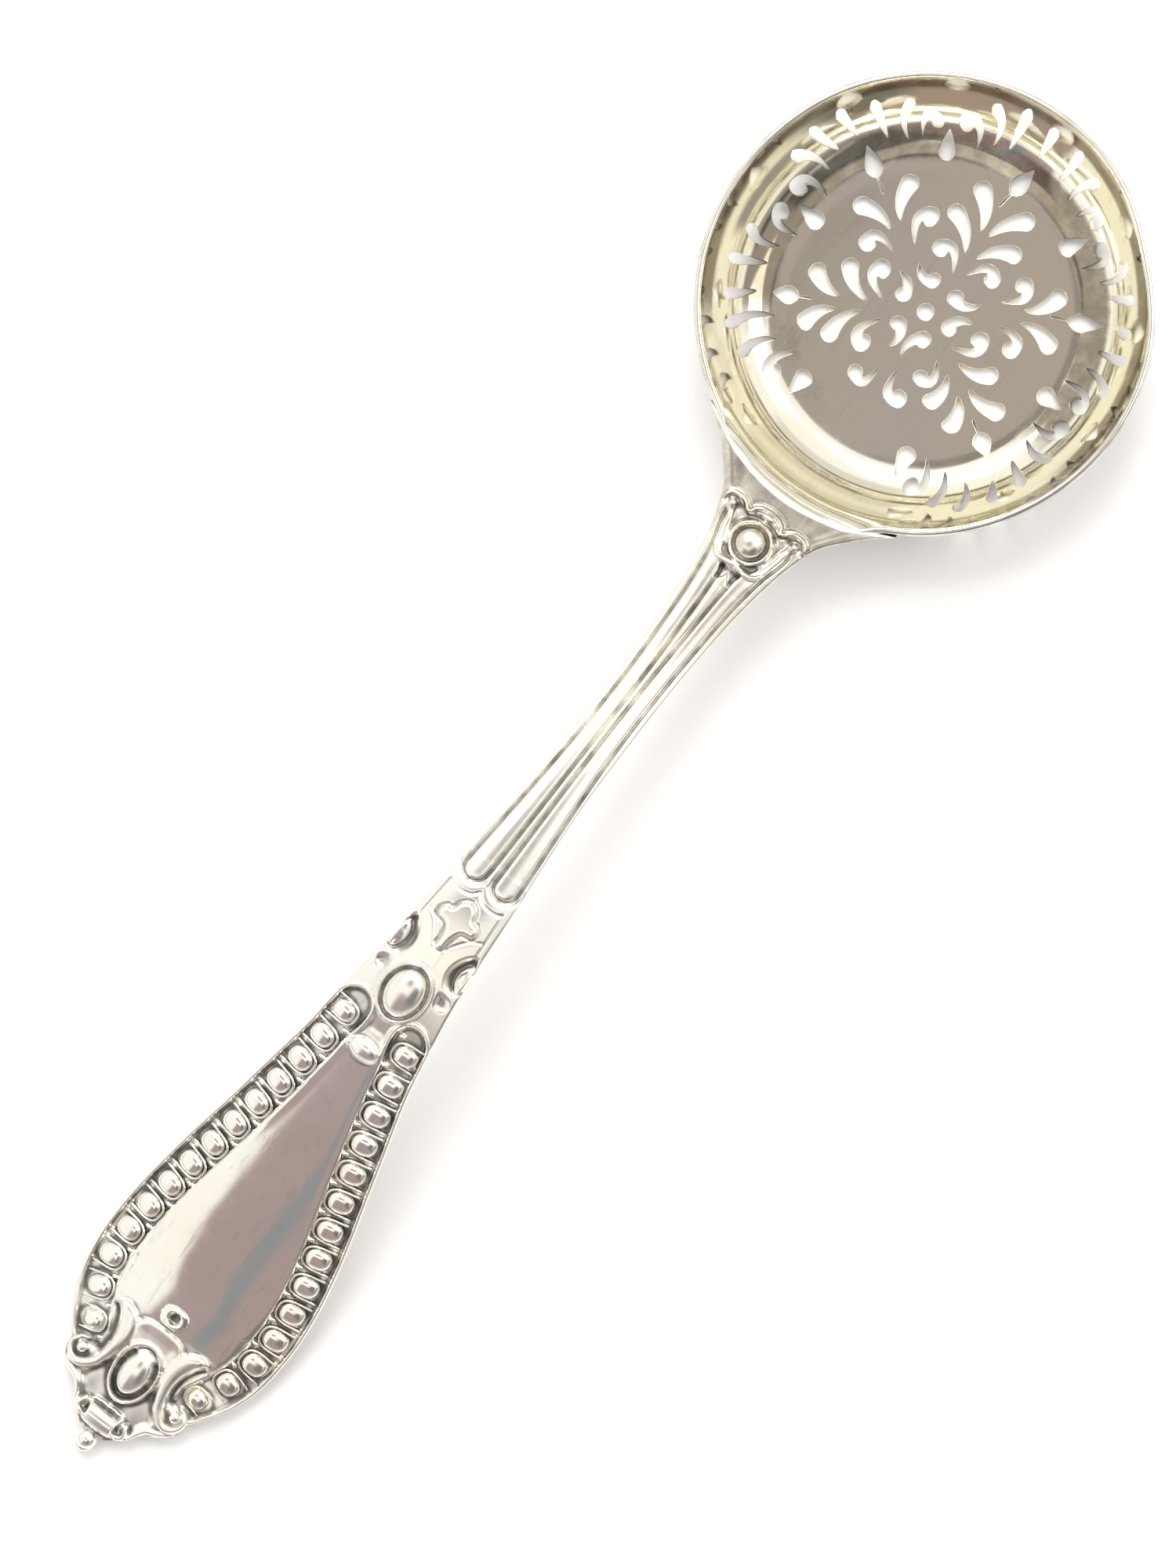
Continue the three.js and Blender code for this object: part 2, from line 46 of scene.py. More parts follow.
spoon = {
    "length": 176.6,
    "bowlRadius": 24.0,
    "bowlDepth": 9.5,
    "sheet": 0.8,  # thickness of the bowl's silver
    "floorRadius": 16.6,
    "wallSweep": 1.26,  # radians that the wall turns through
}
bowlY = spoon["length"] / 2 - spoon["bowlRadius"]
handleEnd = spoon["length"] - spoon["bowlRadius"]


def ramp(value, start, end):  # 0 before start, 1 after end, smooth between them
    share = np.clip((np.asarray(value, float) - start) / (end - start), 0, 1)
    return share * share * (3 - 2 * share)


def bell(distance, wide):  # 1 in the middle, falling away smoothly on both sides
    return np.exp(-((distance / wide) ** 2))


def roundTop(share):  # a half circle: 1 in the middle, 0 from a share of 1 on
    return np.sqrt(np.clip(1 - share**2, 0, 1))


def evenTurns(count):
    return np.linspace(0, 2 * math.pi, count, endpoint=False)


def onCircle(radius, angles):
    return radius * np.stack([np.cos(angles), np.sin(angles)], 1)


def runningSum(steps):
    return np.concatenate([[0], np.cumsum(steps)])


def unit(vectors):
    return vectors / np.linalg.norm(vectors, axis=1)[:, None]


def makeMesh(name, points, faces, smooth=True):
    mesh = bpy.data.meshes.new(name)
    mesh.from_pydata(np.asarray(points, float).tolist(), [], faces)
    mesh.update()
    mesh.polygons.foreach_set("use_smooth", [smooth] * len(mesh.polygons))
    piece = bpy.data.objects.new(name, mesh)
    bpy.context.scene.collection.objects.link(piece)
    return piece


def ringFaces(rings, around, first=0):  # faces between closed rings of points that follow one another
    faces = []
    for start in range(first, first + (rings - 1) * around, around):
        for k in range(around):
            n = (k + 1) % around
            faces.append((start + k, start + n, start + around + n, start + around + k))
    return faces


def tubeFaces(rings, around, first=0):  # the same, closed at both ends
    last = first + (rings - 1) * around
    ends = [tuple(range(first, first + around))[::-1], tuple(range(last, last + around))]
    return ringFaces(rings, around, first) + ends


def setAttribute(piece, name, values, kind="FLOAT"):
    layer = piece.data.attributes.new(name, kind, "POINT")
    field = "value" if kind == "FLOAT" else "vector"
    layer.data.foreach_set(field, np.asarray(values, float).ravel())


# Camera, table and light

view = {
    "place": (25.4, 38.5, 375.3),
    "turn": (0.07049, -0.09253, -0.64243),  # rotation vector from the spoon's frame to the camera's
    "focalPixels": 4500,
    "frameWidth": 1500,
    "sensor": 36,
    "clip": (0.01, 20),  # in metres
}


def setCamera():
    data = bpy.data.cameras.new("camera")
    data.sensor_fit = "HORIZONTAL"
    data.sensor_width = view["sensor"]
    data.lens = view["sensor"] * view["focalPixels"] / view["frameWidth"]
    data.clip_start, data.clip_end = view["clip"]
    camera = bpy.data.objects.new("camera", data)
    turn = Vector(view["turn"])
    toCamera = Matrix.Rotation(turn.length, 3, turn.normalized())
    place = Vector(view["place"]) * mm
    camera.matrix_world = Matrix.Translation(place) @ toCamera.transposed().to_4x4()
    bpy.context.scene.collection.objects.link(camera)
    bpy.context.scene.camera = camera


studio = {
    "sky": (1.06, 1.045, 1.02),
    "card": [(0.92, 0.915, 0.925), (0.96, 0.957, 0.96)],  # two whites, mixed by its grain
    "tableReach": 900,
    "tableDrop": 0.06,  # just under the foot of the bowl
    # place and size in metres, power, colour
    "lights": {
        "window": ((-0.38, 0.50, 0.78), 0.50, 5.2, (1.0, 0.99, 0.96)),
        "fill": ((0.34, 0.52, 0.75), 0.50, 2.0, (1.0, 0.98, 0.95)),
    },
    # parts of the room that the silver mirrors: limits of x, y and z of the direction (2 is no limit),
    # softness, colour
    "room": [
        ((-2, 2), (-2, 2), (-2, 0.16), 0.10, (0.56, 0.55, 0.53)),
        ((-0.175, 0.92), (-2, -0.44), (0.22, 0.93), 0.014, (0.42, 0.335, 0.34)),
        ((0.02, 0.085), (-2, -0.44), (0.22, 0.93), 0.012, (0.30, 0.315, 0.345)),
        ((0.30, 0.80), (-0.62, 0.05), (0.40, 0.93), 0.05, (0.22, 0.215, 0.21)),
        ((0.80, 2), (-0.6, 0.3), (0.05, 0.5), 0.06, (0.36, 0.35, 0.36)),
        ((-0.5, 0.2), (0.78, 2), (0.05, 0.45), 0.06, (0.80, 0.78, 0.74)),
        ((-0.26, 0.14), (-0.42, -0.14), (0.86, 2), 0.03, (1.22, 1.18, 1.10)),
        ((-0.22, 0.10), (-0.11, 0.24), (0.9, 2), 0.02, (0.43, 0.385, 0.385)),
        ((-0.22, -0.105), (-0.02, 0.20), (0.9, 2), 0.015, (0.28, 0.255, 0.26)),
    ],
}


# Short helpers for a node tree: add a node, join two numbers, ease a number from one span to another, and
# blend two colours. What an input holds is a value or the socket that feeds it.
def nodesOf(tree):
    tree.nodes.clear()

    def add(kind, inputs=None, **settings):
        node = tree.nodes.new(kind)
        for key, value in settings.items():
            setattr(node, key, value)
        for key, value in (inputs or {}).items():
            if isinstance(value, bpy.types.NodeSocket):
                tree.links.new(value, node.inputs[key])
            else:
                node.inputs[key].default_value = value
        return node

    def join(kind, a, b):
        return add("ShaderNodeMath", {0: a, 1: b}, operation=kind).outputs[0]

    def span(value, low, high, start=0.0, end=1.0):
        limits = {"Value": value, "From Min": low, "From Max": high, "To Min": start, "To Max": end}
        return add("ShaderNodeMapRange", limits, interpolation_type="SMOOTHSTEP").outputs["Result"]

    def blend(share, a, b):
        a, b = ((*colour, 1) if isinstance(colour, tuple) else colour for colour in (a, b))
        return add("ShaderNodeMix", {0: share, 6: a, 7: b}, data_type="RGBA").outputs[2]

    return add, join, span, blend


def newMaterial(name):
    material = bpy.data.materials.new(name)
    material.use_nodes = True
    return material, *nodesOf(material.node_tree)


def setWorld():
    world = bpy.data.worlds.new("studio")
    bpy.context.scene.world = world
    world.use_nodes = True
    add, join, span, blend = nodesOf(world.node_tree)
    axes = add("ShaderNodeSeparateXYZ", {0: add("ShaderNodeTexCoord").outputs["Generated"]})
    colour = studio["sky"]
    for *limits, soft, shade in studio["room"]:
        share = None
        for axis, (low, high) in enumerate(limits):
            for at, start, end in ((low, 0.0, 1.0), (high, 1.0, 0.0)):
                if abs(at) < 2:
                    part = span(axes.outputs[axis], at - soft, at + soft, start, end)
                    share = part if share is None else join("MULTIPLY", share, part)
        colour = blend(share, colour, shade)
    background = add("ShaderNodeBackground", {"Color": colour})
    add("ShaderNodeOutputWorld", {"Surface": background.outputs[0]})


def setLights():
    for name, (place, size, power, tint) in studio["lights"].items():
        data = bpy.data.lights.new(name, "AREA")
        data.shape = "SQUARE"
        data.size = size
        data.energy = power
        data.color = tint
        light = bpy.data.objects.new(name, data)
        light.location = place
        light.rotation_euler = (-Vector(place)).to_track_quat("-Z", "Y").to_euler()
        bpy.context.scene.collection.objects.link(light)


def setTable():
    reach, low = studio["tableReach"] * mm, -studio["tableDrop"] * mm
    corners = [(-reach, -reach, low), (reach, -reach, low), (reach, reach, low), (-reach, reach, low)]
    table = makeMesh("table", corners, [(0, 1, 2, 3)])
    material, add, _, _, blend = newMaterial("white card")
    place = add("ShaderNodeTexCoord").outputs["Object"]
    grain = add("ShaderNodeTexNoise", {"Vector": place, "Scale": 140.0, "Detail": 3.0})
    tone = blend(grain.outputs["Fac"], *studio["card"])
    shader = add("ShaderNodeBsdfPrincipled", {"Base Color": tone, "Roughness": 0.75})
    add("ShaderNodeOutputMaterial", {"Surface": shader.outputs[0]})
    table.data.materials.append(material)


setCamera()
setWorld()
setLights()
setTable()
bpy.context.scene.view_settings.view_transform = "Standard"
print("camera, studio and table set")


# Finishes of the metal. Point attributes say where it is hollow and dark, gilt, or satin instead of polished.

finish = {
    "silver": (0.945, 0.925, 0.86),
    "warmSilver": (0.92, 0.885, 0.79),
    "tarnish": (0.155, 0.15, 0.145),
    "gilt": (0.93, 0.895, 0.73),
    "wornGilt": (0.92, 0.885, 0.79),
    "giltTarnish": (0.34, 0.29, 0.17),
    "bare": (0.28, 0.24, 0.18),  # painted dark reflection, and where the gilding has gone and the silver has darkened
    "polish": 0.06,  # roughness of a polished face
    "solderPolish": 0.24,
    "satin": 0.13,  # added where the struck face was left satin
    "scratchDepth": 0.02,
    "scratches": ((0.35, 900.0), (-0.6, 1100.0), (1.35, 800.0)),  # which way they run, how fine they are
}


def metal(name, bright, second, dark, polish):
    material, add, join, span, blend = newMaterial(name)
    place = add("ShaderNodeTexCoord").outputs["Object"]

    def noise(scale, detail, rough=0.5, stretch=(1, 1, 1), turn=0.0):
        mapped = add("ShaderNodeMapping", {"Vector": place, "Scale": stretch, "Rotation": (0, 0, turn)})
        inputs = {"Vector": mapped.outputs[0], "Scale": scale, "Detail": detail, "Roughness": rough}
        return add("ShaderNodeTexNoise", inputs).outputs["Fac"]

    def painted(attribute):
        return add("ShaderNodeAttribute", attribute_name=attribute).outputs["Fac"]

    patchy = noise(260.0, 4.0, 0.6)
    dirt = span(join("ADD", painted("hollow"), span(patchy, 0.3, 0.75, -0.14, 0.14)), 0.18, 0.95)
    scratches = None
    for turn, scale in finish["scratches"]:
        line = span(noise(scale, 2.0, 0.5, (1, 0.09, 1), turn), 0.62, 0.74)
        scratches = line if scratches is None else join("MAXIMUM", scratches, line)
    colour = blend(span(noise(55.0, 3.0), 0.42, 0.66), bright, second)
    colour = blend(painted("gilding"), colour, finish["gilt"])
    # painted dark reflection and worn gilding, from a point attribute made uneven by noise
    uneven = span(noise(420.0, 5.0, 0.7), 0.25, 0.8, -0.16, 0.16)
    bare = span(join("ADD", painted("wearAndPaintedReflection"), uneven), 0.12, 1.0)
    colour = blend(bare, colour, finish["bare"])
    colour = blend(join("MULTIPLY", scratches, 0.10), colour, dark)
    colour = blend(dirt, colour, dark)
    rough = join("ADD", span(patchy, 0.3, 0.8, polish, polish + 0.06), join("MULTIPLY", dirt, 0.20))
    rough = join("ADD", rough, join("MULTIPLY", painted("satin"), finish["satin"]))
    rough = join("ADD", rough, join("MULTIPLY", scratches, 0.05))
    wave = join("ADD", join("MULTIPLY", noise(95.0, 2.0), 0.9), join("MULTIPLY", patchy, 0.10))
    height = join("SUBTRACT", wave, join("MULTIPLY", scratches, finish["scratchDepth"]))
    bump = add("ShaderNodeBump", {"Strength": 0.35, "Distance": 0.00009, "Height": height})
    look = {"Metallic": 1.0, "Base Color": colour, "Roughness": rough, "Normal": bump.outputs[0]}
    shader = add("ShaderNodeBsdfPrincipled", look)
    add("ShaderNodeOutputMaterial", {"Surface": shader.outputs[0]})
    return material


silver, warm, tarnish, polish = (finish[key] for key in ("silver", "warmSilver", "tarnish", "polish"))
silverFinish = metal("old silver", silver, warm, tarnish, polish)
giltFinish = metal("lemon gilding", finish["gilt"], finish["wornGilt"], finish["giltTarnish"], polish)
solderFinish = metal("hard solder", warm, silver, tarnish, finish["solderPolish"])
print("metal finishes made")


# Bowl: floor and wall, unrolled from the sheet. Reach is the distance from the centre along its outer face.

bowl = {
    "footBlend": 2.3,  # how gently the floor turns up into the wall
    "rimFlatAt": 47,  # degrees round from +X, where an old knock has flattened the rim
    "rimFlatDepth": 0.7,
    "rimFlatSpread": 17,
    "lipReach": 1.9,  # length of the wall that is laid over at the handle
    "lipSpread": 24,  # degrees to each side of the handle
    "softEdge": 0.07,  # rounding along the sawn openings
    "floorStep": 0.75,
    "wallStep": 0.42,
    "sectors": 300,
    "wobble": [(0.035, 3, 0.6), (0.025, 7, 2.1)],  # of the hammered wall: how much, waves round it, start
    "drawnIn": 0.06,  # of the rim, so that the wobble stays within the wall of the model
    "rimRound": 0.25,  # the flat sheet ends this much before its rim, which is rounded over
    # the rim from the inside to the outside: how far past the flat sheet, and how deep as a share of the
    # sheet's thickness and a little more or less
    "rimSection": [(0.16, 1, -0.04), (0.23, 1, -0.16), (0.25, 0.5, 0), (0.23, 0, 0.16), (0.16, 0, 0.04)],
    # rings of points on the sheet: radius of the first, room at the rim, turn for each millimetre of radius
    "fill": (0.4, 0.2, 1.7),
    "fillClear": 0.22,  # they keep this far from the openings
    "footDirt": (0.25, 0.4, 0.7),  # in the angle of floor and wall: how much, how far out, how wide
    "edgeDirt": 0.35,  # along the openings
}
heelAngle = -math.pi / 2


def wallCurve():  # reach, radius, height and lean of the wall's outer face, at fine even steps
    fine = 0.05
    floor, sweep = spoon["floorRadius"], spoon["wallSweep"]
    run = (spoon["bowlRadius"] - floor) / math.sin(sweep)
    rise = spoon["bowlDepth"] / (1 - math.cos(sweep))
    turn = np.linspace(0, sweep, 160)
    radius = floor + run * np.sin(turn)
    height = rise * (1 - np.cos(turn))
    reach = runningSum(np.hypot(np.diff(radius), np.diff(height))) + floor
    even = np.arange(floor - 6, reach[-1] + 0.001, fine)
    lean = np.interp(even, reach, np.arctan2(rise * np.sin(turn), run * np.cos(turn)), left=0)
    half = int(bowl["footBlend"] / fine)
    kernel = np.ones(2 * half + 1) / (2 * half + 1)
    gentle = np.convolve(np.pad(lean, half, "edge"), kernel, "valid")
    lean = np.where(even < floor + 4, gentle, lean)
    radius = even[0] + runningSum(np.cos(lean[:-1]) * fine)
    height = runningSum(np.sin(lean[:-1]) * fine)
    height *= spoon["bowlDepth"] / height[-1]
    radius = even[0] + (radius - even[0]) * (spoon["bowlRadius"] - even[0]) / (radius[-1] - even[0])
    return even, radius, height, lean


wallReach, wallRadius, wallHeight, wallLean = wallCurve()
sheetReach = float(wallReach[-1])
lipStart = sheetReach - bowl["lipReach"]


def flattening(angle, height):
    away = (np.degrees(angle) - bowl["rimFlatAt"] + 180) % 360 - 180
    up = (height / spoon["bowlDepth"]) ** 1.5
    return bowl["rimFlatDepth"] * bell(away, bowl["rimFlatSpread"]) * up


def lipShare(angle):  # 1 where the wall is laid over at the handle, 0 on the free rim
    away = np.abs((np.degrees(angle - heelAngle) + 180) % 360 - 180)
    return 1 - ramp(away, bowl["lipSpread"] - 7, bowl["lipSpread"] + 4)


# Places and inward normals of unrolled points, so many millimetres in from the sheet's outer face.
def onBowl(flat, depth):
    reach = np.linalg.norm(flat, axis=1)
    angle = np.arctan2(flat[:, 1], flat[:, 0])
    radius = np.where(reach > wallReach[0], np.interp(reach, wallReach, wallRadius), reach)
    height = np.where(reach > wallReach[0], np.interp(reach, wallReach, wallHeight), 0)
    lean = np.interp(reach, wallReach, wallLean)
    # the lip: its lean falls evenly to level at the edge
    beyond = np.clip(reach - lipStart, 0, None)
    start = float(np.interp(lipStart, wallReach, wallLean))
    bend = start / bowl["lipReach"]
    lipLean = start - bend * beyond
    lipRadius = np.interp(lipStart, wallReach, wallRadius) + (math.sin(start) - np.sin(lipLean)) / bend
    lipHeight = np.interp(lipStart, wallReach, wallHeight) + (np.cos(lipLean) - math.cos(start)) / bend
    share = lipShare(angle) * (beyond > 0)
    lean = lean + (lipLean - lean) * share
    radius = radius + (lipRadius - radius) * share - depth * np.sin(lean)
    height = height + (lipHeight - height) * share + depth * np.cos(lean)
    radius = radius - flattening(angle, np.clip(height, 0, None))
    wobble = sum(much * np.sin(waves * angle + start) for much, waves, start in bowl["wobble"])
    radius = radius + (wobble - bowl["drawnIn"]) * np.clip(height / spoon["bowlDepth"], 0, 1)
    place = np.stack([radius * np.cos(angle), radius * np.sin(angle) + bowlY, height], 1)
    normal = np.stack([-np.sin(lean) * np.cos(angle), -np.sin(lean) * np.sin(angle), np.cos(lean)], 1)
    return place * mm, normal


# Bowl: openings. Each kind has one pattern, with its head at 0 and its tip down the -Y axis.

openings = {
    "sides": 12,  # points along each side of a pattern
    # length, how far and how far up its middle line is pulled aside, radius of the head, how fast it thins
    # (for a comma half the width of its tail instead)
    "leaf": (4.2, -0.85, 0.45, 0.95, 0.72),
    "lowLeaf": (4.04, -0.95, 0.5, 0.90, 0.72),
    "comma": (2.9, -1.9, 0.9, 0.90, 0.38),
    "heartComma": (2.7, -1.0, 0.5, 0.84, 0.36),
    "drop": (2.5, 0.0, 0.5, 0.97, 0.80),
    "fin": (2.9, 0.0, 0.5, 0.62, 0.62),
    "horn": (3.7, -1.3, 0.62, 0.60, 0.62),
    "budLength": 2.4,
    "centreHole": 0.87,
}

# Where the piercer cut them, by eye and not quite evenly: the head's place, the tip's place, and the side
# on which the middle line bows out, seen from the head (1 right, -1 left).
cuts = {
    "bud": [
        (0.0, 16.3, 0.33, 18.6, 1), (-13.55, 9.0, -15.5, 10.33, 1), (-12.65, -7.0, -14.3, -7.85, 1),
        (12.9, -7.4, 14.5, -8.35, 1), (13.75, 8.6, 16.05, 9.6, 1),
    ],
    "leaf": [
        (2.8, 13.7, 0.62, 10.2, 1), (-2.8, 13.7, -0.42, 10.2, -1), (-9.42, 9.83, -7.9, 6.17, 1),
        (-12.1, 5.0, -8.2, 4.75, -1), (-11.8, -3.3, -8.4, -3.95, 1), (-9.67, -8.25, -7.9, -5.33, -1),
        (9.33, -8.0, 8.05, -5.15, 1), (12.3, -4.0, 8.6, -3.8, -1), (12.5, 4.8, 8.8, 4.9, 1),
        (10.4, 9.35, 8.3, 6.25, -1),
    ],
    "lowLeaf": [
        (3.85, 10.2, 1.0, 7.6, 1), (-3.6, 10.2, -0.4, 7.4, -1), (-9.25, -0.85, -5.75, -2.65, 1),
        (-6.83, -7.75, -5.6, -3.9, -1), (6.1, -7.2, 5.85, -4.0, 1), (9.5, -1.35, 6.05, -2.25, -1),
    ],
    "comma": [
        (3.6, 6.85, 1.2, 5.65, 1), (-2.7, 6.35, -0.15, 5.0, -1), (-6.43, 0.93, -4.4, -1.6, 1),
        (-3.55, -6.5, -3.35, -3.35, -1), (3.83, -5.83, 4.0, -3.35, 1), (6.43, 0.93, 4.45, -1.35, -1),
        (-5.6, 8.3, -5.15, 5.0, 1), (-9.3, 2.25, -6.5, 3.05, -1), (-2.1, -9.45, -0.5, -7.6, 1),
        (3.1, -9.0, 1.25, -6.65, -1), (6.75, 8.25, 5.8, 5.5, -1), (9.6, 2.1, 7.0, 3.2, 1),
        (-8.3, 18.5, -5.85, 16.65, -1), (-11.1, 16.8, -11.35, 14.6, 1), (-18.75, 2.6, -15.6, 3.7, -1),
        (-18.65, -0.5, -15.6, -1.45, 1), (-9.35, -14.7, -8.45, -11.35, -1), (9.95, -15.7, 9.3, -12.2, 1),
        (19.0, 1.5, 15.9, 2.8, 1), (18.9, -1.5, 15.9, -2.6, -1), (8.95, 18.05, 6.7, 17.15, 1),
        (11.2, 16.0, 10.4, 13.15, -1),
    ],
    "heartComma": [
        (-1.35, 3.1, -3.55, 3.7, -1), (-3.0, 0.15, -4.75, 1.85, 1), (-1.57, -2.67, -0.9, -5.05, -1),
        (1.5, -2.5, 0.65, -5.15, 1), (1.7, 3.0, 4.25, 4.0, 1), (3.0, 0.1, 4.8, 1.85, -1),
    ],
    "drop": [
        (-8.3, 14.8, -9.45, 16.9, 1), (-15.15, 0.9, -17.6, 1.15, 1), (-6.2, -13.15, -6.55, -15.3, 1),
        (7.45, -13.3, 7.8, -15.8, 1), (15.5, 0.35, 17.9, 0.2, 1), (8.0, 14.2, 9.37, 16.25, 1),
    ],
    "fin": [
        (3.55, 22.1, 3.2, 19.1, 1), (0.0, 22.5, 0.0, 19.9, 1), (-3.35, 22.3, -3.1, 18.8, 1),
        (-17.0, 13.9, -14.2, 12.3, 1), (-19.4, 11.0, -16.9, 10.6, 1), (-20.6, 7.9, -17.6, 8.25, 1),
        (-19.7, -7.6, -16.6, -5.75, 1), (-17.95, -11.0, -15.8, -8.8, 1), (17.8, -12.0, 16.5, -10.0, 1),
        (19.2, -8.7, 16.7, -7.2, 1), (20.1, 7.7, 17.15, 7.3, 1), (18.8, 10.3, 17.0, 10.3, 1),
        (17.0, 13.4, 14.6, 12.5, 1),
    ],
    "horn": [
        (6.7, 20.9, 5.15, 17.8, 1), (-6.5, 21.1, -4.7, 18.2, -1), (-14.15, 16.4, -12.4, 13.5, 1),
        (-20.8, 4.8, -17.2, 6.0, -1), (-20.2, -3.9, -16.6, -3.5, 1), (-13.0, -15.1, -10.95, -11.5, -1),
        (-15.8, -13.4, -12.5, -9.65, -1), (19.9, -4.9, 16.6, -4.45, -1), (12.75, -16.0, 11.7, -12.2, 1),
        (15.35, -14.9, 14.15, -11.95, 1), (14.3, 16.0, 12.9, 13.1, -1), (20.4, 3.8, 17.1, 5.1, 1),
    ],
}


# Outline of a pattern: round at its head, drawn out to a point along a bent middle line. A comma keeps its
# round head, and its tail grows out of one side.
def pattern(kind):
    length, aside, upward, radius, thin = openings[kind]
    bend = np.array([aside, -length * (1 - upward)])
    tip = np.array([0, -length])
    share = np.linspace(0, 1, openings["sides"], endpoint=False)
    middle = (2 * share * (1 - share))[:, None] * bend + (share**2)[:, None] * tip
    along = (2 * (1 - share))[:, None] * bend + (2 * share)[:, None] * (tip - bend)
    along /= np.linalg.norm(along, axis=1)[:, None]
    side = np.stack([-along[:, 1], along[:, 0]], 1)
    if "omma" in kind:
        run = np.linalg.norm(middle, axis=1)
        disc = np.sqrt(np.clip(radius**2 - run**2, 0, None))
        tail = thin * (1 - share**3)
        outer = tail + (radius - tail) * (1 - share) ** 1.6
        inner = np.maximum(disc, tail)
    else:
        outer = inner = radius * (1 - share) ** thin
    near, far = middle + side * inner[:, None], middle - side * outer[:, None]
    back = math.atan2(-along[0, 1], -along[0, 0])
    if kind in ("fin", "horn"):  # the saw ran straight across their wide ends
        turns = back + np.array([0.9, 0.5, 0.0, -0.5, -0.9])
        crown = onCircle(0.75 * radius, turns)
    else:
        turns = back + np.linspace(1.35, -1.35, 9)
        crown = onCircle(radius, turns)
    return np.array([*near, tip, *far[::-1], *crown])


def budPattern():  # a pointed bud with a fine saw cut running in from it
    half = [(0.0, 3.1), (0.07, 3.0), (0.08, 1.3), (0.5, 1.0), (0.86, 0.45), (0.95, -0.1), (0.80, -0.8),
            (0.48, -1.5), (0.15, -2.15), (0.0, -2.4)]
    right = np.array(half)
    left = right[1:-1][::-1] * [-1, 1]
    return np.array([*right, *left])[::-1]


def setGroup(step, tree, **values):  # a modifier's inputs go by their identifiers
    step.node_group = tree
    for name, value in values.items():
        step[next(item.identifier for item in tree.interface.items_tree if item.name == name)] = value


# A geometry node tree that sets a shape at places, turned and stretched to each, as one plain mesh of metal.
def setterTree(name, shape, numbers, placesOf):
    group = bpy.data.node_groups.new(name, "GeometryNodeTree")
    sockets = [("Geometry", "Geometry"), (shape, "Object"), *numbers, ("Metal", "Material")]
    for socket, kind in sockets:
        group.interface.new_socket(socket, in_out="INPUT", socket_type="NodeSocket" + kind)
    group.interface.new_socket("Geometry", in_out="OUTPUT", socket_type="NodeSocketGeometry")
    add = nodesOf(group)[0]
    given = add("NodeGroupInput").outputs

    def named(attribute, kind="FLOAT_VECTOR"):
        node = add("GeometryNodeInputNamedAttribute", {"Name": attribute}, data_type=kind)
        return node.outputs["Attribute"]

    points, rotation = placesOf(add, given, named)
    info = add("GeometryNodeObjectInfo", {"Object": given[shape]}).outputs["Geometry"]
    how = {"Points": points, "Instance": info, "Rotation": rotation, "Scale": named("size")}
    place = add("GeometryNodeInstanceOnPoints", how)
    real = add("GeometryNodeRealizeInstances", {0: place.outputs[0]})
    coat = add("GeometryNodeSetMaterial", {"Geometry": real.outputs[0], "Material": given["Metal"]})
    add("NodeGroupOutput", {0: coat.outputs[0]})
    return group


def cutPlaces(add, given, named):
    spin = add("ShaderNodeCombineXYZ", {"Z": named("turn", "FLOAT")})
    return given["Geometry"], spin.outputs[0]


def evaluated(piece, name):  # the piece with its modifiers applied, as a new plain mesh
    graph = bpy.context.evaluated_depsgraph_get()
    made = piece.evaluated_get(graph)
    mesh = bpy.data.meshes.new_from_object(made, preserve_all_data_layers=True, depsgraph=graph)
    mesh.name = name
    return mesh


def piercing():  # outlines of every opening in the bowl, in millimetres about its centre
    tree = setterTree("openings at their places", "Pattern", [], cutPlaces)
    outlines = []
    for kind, places in cuts.items():
        outline = budPattern() if kind == "bud" else pattern(kind)
        length = openings["budLength"] if kind == "bud" else openings[kind][0]
        count = len(outline)
        edges = [(k, (k + 1) % count) for k in range(count)]
        patternMesh = bpy.data.meshes.new(kind)
        patternMesh.from_pydata(np.column_stack([outline, np.zeros(count)]).tolist(), edges, [])
        shape = bpy.data.objects.new(kind, patternMesh)
        places = np.array(places)
        away = places[:, 2:4] - places[:, :2]
        stretch = np.linalg.norm(away, axis=1) / length
        level = np.ones(len(places))
        holder = makeMesh(kind + "Places", np.column_stack([places[:, :2], 0 * level]), [])
        setAttribute(holder, "turn", np.arctan2(away[:, 0], -away[:, 1]))
        setAttribute(holder, "size", np.column_stack([places[:, 4], stretch, level]), "FLOAT_VECTOR")
        setGroup(holder.modifiers.new("openings", "NODES"), tree, Pattern=shape, Metal=giltFinish)
        mesh = evaluated(holder, kind)
        flat = np.empty(len(mesh.vertices) * 3)
        mesh.vertices.foreach_get("co", flat)
        outlines += list(flat.reshape(len(places), count, 3)[:, :, :2])
        for used in (holder, shape):
            bpy.data.objects.remove(used)
        bpy.data.meshes.remove(mesh)
    return [*outlines, onCircle(openings["centreHole"], evenTurns(26))]


def area(outline):
    x, y = outline[:, 0], outline[:, 1]
    return 0.5 * float(np.sum(x * np.roll(y, -1) - y * np.roll(x, -1)))


def grown(outline, by):  # the outline moved outwards, and the outward direction at each corner
    edge = np.roll(outline, -1, 0) - outline
    edge /= np.linalg.norm(edge, axis=1)[:, None] + 1e-12
    normal = np.stack([edge[:, 1], -edge[:, 0]], 1)
    corner = normal + np.roll(normal, 1, 0)
    corner /= np.linalg.norm(corner, axis=1)[:, None] + 1e-12
    return outline + corner * by, corner


def inside(points, outline):  # which points lie inside a closed outline
    hit = np.zeros(len(points), bool)
    for (x1, y1), (x2, y2) in zip(outline, np.roll(outline, -1, 0)):
        if y1 == y2:
            continue
        crosses = (y1 > points[:, 1]) != (y2 > points[:, 1])
        at = x1 + (points[:, 1] - y1) * (x2 - x1) / (y2 - y1)
        hit ^= crosses & (points[:, 0] < at)
    return hit


